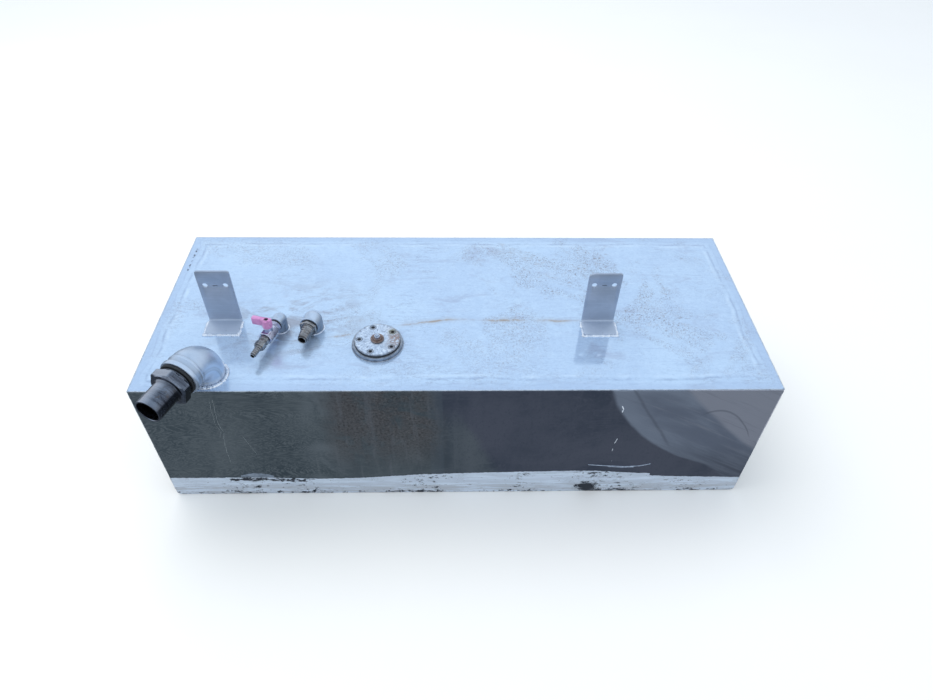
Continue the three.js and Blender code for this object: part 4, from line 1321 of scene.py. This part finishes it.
def filler_elbow():
    """A swept casting with a rim at its mouth and a raised ring behind it."""
    rise, reach, bend, leg = sizes(FILLER, "rise reach bend leg")
    throat, lip, bore, socket = sizes(FILLER, "throat rim bore socket")
    upright = rise - bend
    arc = bend * RIGHT_ANGLE
    mouth = upright + arc + reach - bend
    rim = mouth - FILLER["rim_width"]
    ring = mouth - FILLER["ring_back"]
    outer = [(0, leg)]
    steps = 26
    for i in range(1, steps):
        share = i / steps
        swell = share * share * (3 - 2 * share)
        outer.append((upright + (ring - 2 - upright) * share, leg + (throat - leg) * swell))
    outer += filleted([
        (ring - 2, throat - 0.3), (ring, throat - 0.3), (ring + 0.8, throat + 0.5),
        (ring + 2.4, throat + 0.5), (ring + 3.2, throat), (rim, throat), (rim + 0.8, lip), (mouth - 1, lip),
        (mouth, lip - 1.2), (mouth, socket), (upright + arc + 1, socket), (upright + arc, bore),
    ], 0.5)
    inner = [(upright + arc * i / 16, bore) for i in range(15, -1, -1)] + [(0, bore)]

    line_height = 0.35
    line_width = 0.05

    def section(angle, distance, radius):
        """A faint parting line on the two cheeks, on the outside only."""
        if radius < leg - 0.5:
            return radius
        cheek = abs(abs(math.remainder(angle, FULL_TURN)) - RIGHT_ANGLE)
        return radius + line_height * max(0, 1 - cheek / line_width)

    shape = turned(outer + inner, section, 120, True, bend_path(rise, bend))
    piece("filler_elbow", shape, CAST, place=on_lid(FILLER), crease=50)


def filler_tail():
    """Hexagon and plain hose tail, with a little thread showing behind the hexagon."""
    reach, flats, tail, tip, bore = sizes(FILLER, "reach flats tail tip tail_bore")
    near, far = sizes(FILLER, "hex_near hex_far")
    thread = FILLER["socket"] - THREAD_PLAY
    half = flats / 2
    wide = half * 1.12
    outer = [(reach - 10, thread)] + span(reach - 9, reach + 5, thread, 0.35) + filleted([
        (reach + 5, thread), (reach + 5, thread + 1.8), (near, thread + 1.8), (near, half - 1.2),
        (near + 2.4, wide), (far - 2.4, wide), (far, half - 1.2), (far, tail + 1.8), (far + 3, tail + 0.1),
    ], 0.5)
    outer += span(far + 4, tip - 3, tail, 2.5) + filleted([
        (tip - 2.5, tail), (tip - 0.3, tail - 0.5), (tip, tail - 1), (tip, bore + 0.4), (tip - 0.8, bore),
        (reach - 10, bore),
    ], 0.3)
    section = threaded(reach - 9, reach + 5, 2.3, 1.1, hexagon(flats, math.radians(16)))
    shape = turned(outer, section, 144, True)
    piece("filler_hose_tail", shape, DARK_IRON, place=along_leg(FILLER), crease=28)


def seal(name, fitting, outer, thickness):
    """A squeezed rubber ring between an elbow's mouth and what screws into it."""
    start = fitting["reach"] + 0.3
    end = start + thickness
    hole = fitting["socket"] + 0.05
    profile = filleted([
        (start, hole), (start, outer - 0.3), (start + thickness / 2, outer), (end, outer - 0.3),
        (end, hole),
    ], 0.5)
    piece(name, turned(profile, looped=True), RUBBER, place=along_leg(fitting))


# ---------------------------------------------------------------- vent and outlet


def domed_elbow(name, fitting):
    """A short cast elbow, its domed upright and its level leg melted into each other."""
    leg, rise, reach, socket = sizes(fitting, "leg rise reach socket")
    turns = [RIGHT_ANGLE * i / 10 for i in range(10)]
    dome = [(rise + leg * math.sin(turn), leg * math.cos(turn)) for turn in turns]
    upright = turned([(0, leg - 0.6), (1.5, leg), *dome, (rise + leg, 0.2)])
    level = turned(filleted([
        (0, leg - 0.5), (reach - 3.2, leg - 0.5), (reach - 2.9, leg), (reach - 0.4, leg),
        (reach, leg - 0.6), (reach, socket), (reach - 6, socket), (reach - 6, 0.5),
    ], 0.3))
    lying = Matrix.Translation((0, 0, rise)) @ Matrix.Rotation(RIGHT_ANGLE, 4, "Y")
    shape = joined(upright, placed(level, lying))
    made = piece(name, shape, SMALL_CAST, place=on_lid(fitting), crease=60)
    melted(made, voxel=0.45, rounds=5)


def ridges(start, end, first, last, count, depth):
    """Hose ridges: each rises sharply, tapers towards the tip and leaves a groove before the next."""
    pitch = (end - start) / count
    profile = []
    for i in range(count):
        radius = first + (last - first) * i / (count - 1)
        at = start + pitch * i
        profile += [(at, radius - depth), (at + pitch * 0.1, radius)]
        profile += [(at + pitch * 0.45, radius), (at + pitch * 0.72, radius - depth)]
    return profile


def vent_tail():
    """Hexagon and ridged hose tail, with a little thread behind the hexagon."""
    reach, near, flats, far, tip, bore, root, end = sizes(
        VENT | VENT_TAIL, "reach hex_near flats hex_far tip bore root tip_radius",
    )
    thread = VENT["socket"] - THREAD_PLAY
    half = flats / 2
    wide = half * 1.13
    outer = [(reach - 6, thread)] + span(reach - 5.8, near - 0.2, thread, 0.3) + filleted([
        (near - 0.1, thread), (near, half - 0.5), (near + 1.3, wide), (far - 1.3, wide),
        (far, half - 0.6), (far, root + 0.6), (far + 1, root - 0.5),
    ], 0.3)
    outer += filleted(ridges(far + 1.2, tip - 1, root, end, 5, 1.5), 0.25, 2)
    outer += filleted([
        (tip - 0.8, end - 0.7), (tip, end - 1.1), (tip, bore + 0.3), (tip - 0.6, bore), (reach - 6, bore),
    ], 0.25)
    section = threaded(reach - 5.8, near - 0.2, 1.3, 0.6, hexagon(flats))
    shape = turned(outer, section, 120, True)
    piece("vent_hose_tail", shape, BRONZE, place=along_leg(VENT), crease=30)


def valve_body():
    """Hexagon bar body with a round tower for the stem."""
    near, far, flats, pivot = sizes(VALVE, "near far flats pivot")
    boss, top, bottom = sizes(VALVE, "boss boss_top boss_bottom")
    seat = pivot - VALVE["seat"]
    half = flats / 2
    wide = half * 1.14
    outer = filleted([
        (near, 6.3), (near, half - 0.4), (near + 1.3, wide), (near + 7, wide), (near + 7.6, half - 0.5),
        (near + 8.6, half - 0.5), (near + 9.2, wide), (far - 1.3, wide), (far, half - 0.4), (far, 7.2),
        (seat, 7.2), (seat, 3), (near - 7.8, 3), (near - 7.8, 6.3),
    ], 0.3)
    prism = turned(outer, hexagon(flats, RIGHT_ANGLE / 3), 120, True)
    tower = turned(filleted([
        (bottom, boss + 0.6), (9.6, boss), (top - 0.6, boss), (top, boss - 0.7), (top, 4.4), (10, 4.4),
        (10, 3.2), (bottom, 3.2),
    ], 0.3), looped=True)
    stand = Matrix.Translation((0, 0, pivot)) @ Matrix.Rotation(-RIGHT_ANGLE, 4, "Y")
    shape = joined(prism, placed(tower, stand))
    piece("valve_body", shape, NICKEL, place=along_leg(OUTLET), crease=28)


def valve_frame():
    """The upright place of the valve's turning parts, on the stem's axis."""
    return on_lid(OUTLET) @ Matrix.Translation((VALVE["pivot"], 0, OUTLET["rise"]))


def valve_handle():
    """A boxy lever with rounded edges on a round hub, with a sunk hole for the screw."""
    length, behind, width, height = sizes(LEVER, "length behind width height")
    top, bottom, hub = VALVE["handle_top"], VALVE["handle_bottom"], LEVER["hub"]
    outline = rounded_corners(-width / 2, -length, width / 2, behind, 1.6)
    turn = Matrix.Rotation(math.radians(LEVER["skew"]), 4, "Z")
    raised = turn @ Matrix.Translation((0, 0, top - height / 2))
    bar = placed(shape_of(flat_outline(outline, [(0, 0, 3)], height, 0.8)), raised)
    round_hub = turned(filleted([
        (bottom, 3.3), (bottom, hub - 0.6), (bottom + 0.9, hub), (top - height + 1, hub),
        (top - 2.2, hub - 1.6), (top - 1.2, hub - 2.6), (top - 1.2, 3.0), (top - 3.5, 3.0),
        (top - 3.5, 1.7), (bottom + 7.2, 1.7), (bottom + 7.2, 3.3),
    ], 0.4), looped=True)
    piece("valve_handle", joined(bar, round_hub), PINK, "valve_core", 30, valve_frame())


def handle_screw():
    """The small screw that holds the lever, with a slightly sunk head."""
    seat = VALVE["handle_top"] - 3.2
    profile = filleted([
        (seat - 8.5, 1.25), (seat, 1.25), (seat, 2.6), (seat + 1.4, 2.6), (seat + 2, 2.0), (seat + 2, 1.0),
        (seat + 0.9, 0.9),
    ], 0.2)
    shape = turned(profile, count=48)
    piece("handle_screw", shape, SCREW_STEEL, "valve_core", place=valve_frame())


def outlet_tail():
    """Round collar, hexagon and ridged hose tail, screwed into the valve."""
    collar, flats, radius, bore = sizes(OUTLET_TAIL, "collar flats radius bore")
    near, far, tip = sizes(OUTLET_TAIL, "hex_near hex_far tip")
    start = VALVE["pivot"] + VALVE["seat"]
    mouth = VALVE["far"]
    half = flats / 2
    wide = half * 1.14
    outer = filleted([
        (start, 6.9), (mouth + 0.3, 6.9), (mouth + 0.3, collar - 0.6), (mouth + 1.2, collar),
        (near - 3, collar), (near - 2.6, collar - 1.3), (near - 0.6, collar - 1.3),
        (near - 0.2, half - 0.4), (near + 1.1, wide), (far - 1.1, wide), (far, half - 0.4),
        (far, radius + 1), (far + 3, radius + 0.8), (far + 3.3, radius - 0.5),
    ], 0.25)
    outer += filleted(ridges(far + 3.5, tip - 0.6, radius + 0.2, radius, 4, 1.2), 0.2, 2)
    outer += filleted([
        (tip - 0.5, radius - 0.7), (tip, radius - 1), (tip, bore + 0.2), (tip - 0.5, bore), (start, bore),
    ], 0.2)
    shape = turned(outer, hexagon(flats), 96, True)
    piece("outlet_hose_tail", shape, BRONZE, place=along_leg(OUTLET), crease=30)


# ---------------------------------------------------------------- level sender


def screw_places():
    """The five screws' places on their circle, clockwise from -X."""
    places = []
    for i in range(SENDER["screws"]):
        angle = math.pi - i * FULL_TURN / SENDER["screws"]
        places.append((SENDER["pitch"] * math.cos(angle), SENDER["pitch"] * math.sin(angle)))
    return places


def sender_stack():
    """Welded ring, gasket and flange, from the lid upwards."""
    place = on_lid(SENDER)
    hole, height, ring, gasket = sizes(SENDER, "hole ring_height ring gasket")
    profile = filleted([(0, hole), (0, ring), (height, ring), (height, hole), (0.01, hole)], 0.5)
    piece("sender_ring", turned(profile, count=96, looped=True), RING, place=place)
    profile = filleted([
        (height, hole), (height, gasket), (FLANGE_BOTTOM, gasket - 0.4), (FLANGE_BOTTOM, hole),
    ], 0.3)
    piece("sender_gasket", turned(profile, count=96, looped=True), RUBBER, place=place)
    holes = [(x, y, SCREW["head"] + 0.3) for x, y in screw_places()] + [(0, 0, 5.3)]
    plate = flat_outline(circle(SENDER["flange"], 96), holes, SENDER["flange_thickness"], 0.4)
    lift = Matrix.Translation((0, 0, (FLANGE_BOTTOM + FLANGE_TOP) / 2))
    piece("sender_flange", shape_of(plate), PLATE, place=place @ lift, crease=30)


def sender_screws():
    """Countersunk socket screws, sunk a little, their sockets darkened with dirt and painted shade."""
    top = FLANGE_TOP
    shank, head, depth = sizes(SCREW, "shank head head_depth")
    socket = hexagon(SCREW["socket"])
    profile = filleted([
        (top - SCREW["length"], shank), (top - depth, shank), (top - 0.35, head - 0.1),
        (top - 0.1, head - 0.5), (top - 0.1, 1.75), (top - SCREW["socket_depth"], 1.7),
    ], 0.15)

    def section(angle, distance, radius):
        """Six-sided inside the socket, and round elsewhere."""
        return socket(angle, distance, radius) if radius < 1.8 else radius

    extra_turn = 0.7
    for i, (x, y) in enumerate(screw_places()):
        turn = Matrix.Rotation(extra_turn * i, 4, "Z")
        spot = on_lid(SENDER) @ Matrix.Translation((x, y, 0)) @ turn
        piece(f"sender_screw_{i + 1}", turned(profile, section, 48), PLATE, place=spot)


def terminal():
    """Washer, collar, nut and threaded stud in the middle of the flange."""
    place = on_lid(SENDER)
    insulator_rim = 0.8
    washer_thickness = 1.5
    collar_thickness = 1.5
    stud = TERMINAL["stud"]
    bore = stud + 0.3
    base = FLANGE_TOP + insulator_rim
    washer_top = base + washer_thickness
    collar_top = washer_top + collar_thickness
    rings = (
        ("terminal_washer", base, washer_top, TERMINAL["washer"]),
        ("terminal_collar", washer_top, collar_top, TERMINAL["collar"]),
    )
    for name, start, end, outer in rings:
        corners = [(start, bore), (start, outer), (end, outer), (end, bore), (start + 0.01, bore)]
        profile = filleted(corners, 0.3)
        piece(name, turned(profile, looped=True), COPPER, place=place)

    nut_top = collar_top + TERMINAL["nut_height"]
    flats = TERMINAL["nut_flats"]
    half = flats / 2
    wide = half * 1.14
    profile = filleted([
        (collar_top, bore), (collar_top, half - 0.2), (collar_top + 0.7, wide), (nut_top - 0.7, wide),
        (nut_top, half - 0.2), (nut_top, bore + 0.3), (nut_top - 0.4, bore),
    ], 0.2)
    piece("terminal_nut", turned(profile, hexagon(flats), looped=True), ZINC, place=place)

    low = FLANGE_BOTTOM - 7
    top = FLANGE_TOP + TERMINAL["top"]
    profile = [(low, stud - 0.4)] + span(low + 0.5, top - 0.6, stud, 0.16)
    profile += [(top - 0.2, stud - 0.3), (top, stud - 0.7)]
    section = threaded(low + 0.4, top - 0.5, 0.8, 0.32)
    piece("terminal_stud", turned(profile, section, 48), ZINC, place=place)


# ---------------------------------------------------------------- CAD pieces that stay as they are


def keep_cad_pieces():
    """Inner pieces whose CAD shape is right: they only get their material."""
    looks = {
        MILL: ("baffle_plate", "outlet_dip_tube", "sender_tube", "float_stop_lower", "float_stop_upper"),
        NYLON: ("sender_float", "terminal_insulator"),
        NICKEL: ("valve_ball", "valve_stem", "terminal_inner_nut"),
        PTFE: ("valve_seat_inner", "valve_seat_outer"),
        RUBBER: ("valve_stem_seal",),
    }
    for look, names in looks.items():
        for name in names:
            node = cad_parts[name]
            node.data.materials.clear()
            node.data.materials.append(look)


# ---------------------------------------------------------------- stage, in metres


def floor():
    """A wide pale floor that fades out far away. Shiny surfaces see it darker, as a yard would be."""
    look = Look("pale_floor")
    tone = look.mix(look.noise(3, 4, 0.5).ramp(0.3, 0.7), (0.97, 0.94, 0.89), (0.98, 0.95, 0.90))
    look.done(tone, 0.8, 0.0)
    pale = Value(look, look.shader.outputs[0])
    dim = look.node("ShaderNodeEmission", {"Color": (0.19, 0.22, 0.26)})
    clear = look.node("ShaderNodeBsdfTransparent", {})
    glossy = look.node("ShaderNodeLightPath", {}, "Is Glossy Ray")
    near_by = look.node("ShaderNodeMixShader", {0: glossy, 1: pale, 2: dim})
    fade_start, fade_end = 4.0, 11.0
    far = look.distance(look.axis(0), look.axis(1)).ramp(fade_start, fade_end)
    faded = look.node("ShaderNodeMixShader", {0: far, 1: near_by, 2: clear})
    look.feed(look.nodes["Material Output"].inputs["Surface"], faded)
    size, level = 12, -0.001
    mesh = bpy.data.meshes.new("floor")
    corners = [(-size, -size, level), (size, -size, level), (size, size, level), (-size, size, level)]
    mesh.from_pydata(corners, [], [(0, 1, 2, 3)])
    mesh.materials.append(look.material)
    linked("floor", mesh)


def sky():
    """Soft even light: cool from above, white near the horizon."""
    world = bpy.data.worlds.new("sky")
    world.use_nodes = True
    nodes = world.node_tree.nodes
    links = world.node_tree.links
    place = nodes.new("ShaderNodeTexCoord")
    split = nodes.new("ShaderNodeSeparateXYZ")
    ramp = nodes.new("ShaderNodeValToRGB")
    links.new(place.outputs["Generated"], split.inputs[0])
    links.new(split.outputs[2], ramp.inputs[0])
    ramp.color_ramp.elements[0].color = (0.86, 0.90, 0.96, 1)
    ramp.color_ramp.elements[1].color = (0.74, 0.86, 1.0, 1)
    links.new(ramp.outputs[0], nodes["Background"].inputs["Color"])
    nodes["Background"].inputs["Strength"].default_value = 1.0
    bpy.context.scene.world = world


def lamp(name, place, size, power):
    """A large round lamp aimed at the tank, not mirrored in shiny surfaces."""
    middle = Vector((0, 0, 0.15))
    light = bpy.data.lights.new(name, "AREA")
    light.shape = "DISK"
    light.size = size
    light.energy = power
    holder = linked(name, light)
    holder.visible_glossy = False
    holder.location = place
    holder.rotation_euler = (middle - Vector(place)).to_track_quat("-Z", "Y").to_euler()


def camera(place, lens, **degrees):
    """A camera that looks down by its pitch, to the right by its yaw, and leans by its roll."""
    pitch, yaw, roll = (math.radians(degrees[key]) for key in ("pitch", "yaw", "roll"))
    ahead = Vector((math.sin(yaw) * math.cos(pitch), math.cos(yaw) * math.cos(pitch), -math.sin(pitch)))
    level = Vector((math.cos(yaw), -math.sin(yaw), 0))
    upward = level.cross(ahead)
    right = math.cos(roll) * level + math.sin(roll) * upward
    up = -math.sin(roll) * level + math.cos(roll) * upward
    data = bpy.data.cameras.new("camera")
    data.sensor_width = 36
    data.lens = lens
    holder = linked("camera", data)
    turn = Matrix((right, up, -ahead)).transposed()
    holder.matrix_world = Matrix.Translation(place) @ turn.to_4x4()
    bpy.context.scene.camera = holder


# ---------------------------------------------------------------- assembly

face_panel("front_panel", -1, FRONT, FRONT_BULGE)
face_panel("back_panel", 1, SIDE, BACK_BULGE)
shell_wrapper()
lid()
for bracket_name, spec in BRACKETS.items():
    bracket(bracket_name, **spec)
    foot_beads(bracket_name, spec["x"], spec["back"])
seam_beads()
front_marks()
filler_elbow()
seal("filler_seal", FILLER, outer=26, thickness=4)
filler_tail()
foot_ring("filler_weld", FILLER, ring=25.8, radius=2.9, pitch=6.2, seed=1.0)
domed_elbow("vent_elbow", VENT)
seal("vent_seal", VENT, outer=13, thickness=1.5)
vent_tail()
foot_ring("vent_weld", VENT, ring=15.2, radius=1.2, pitch=2.2, seed=2.0)
domed_elbow("outlet_elbow", OUTLET)
seal("outlet_seal", OUTLET, outer=10, thickness=1.5)
valve_body()
valve_handle()
handle_screw()
outlet_tail()
foot_ring("outlet_weld", OUTLET, ring=11.5, radius=1.2, pitch=2.2, seed=3.0)
sender_stack()
sender_screws()
terminal()
foot_ring(
    "sender_weld", SENDER, ring=SENDER["ring"] + 0.4, radius=1.1, pitch=2.0, seed=5.0, slot="bracket",
    look=RING,
)
keep_cad_pieces()
floor()
sky()
lamp("overhead", (-0.8, 0.6, 2.6), size=2.5, power=36)
camera((-0.0154, -0.8196, 0.9610), lens=26.0, pitch=44.667, yaw=2.113, roll=1.356)
bpy.context.scene.view_settings.view_transform = "Standard"
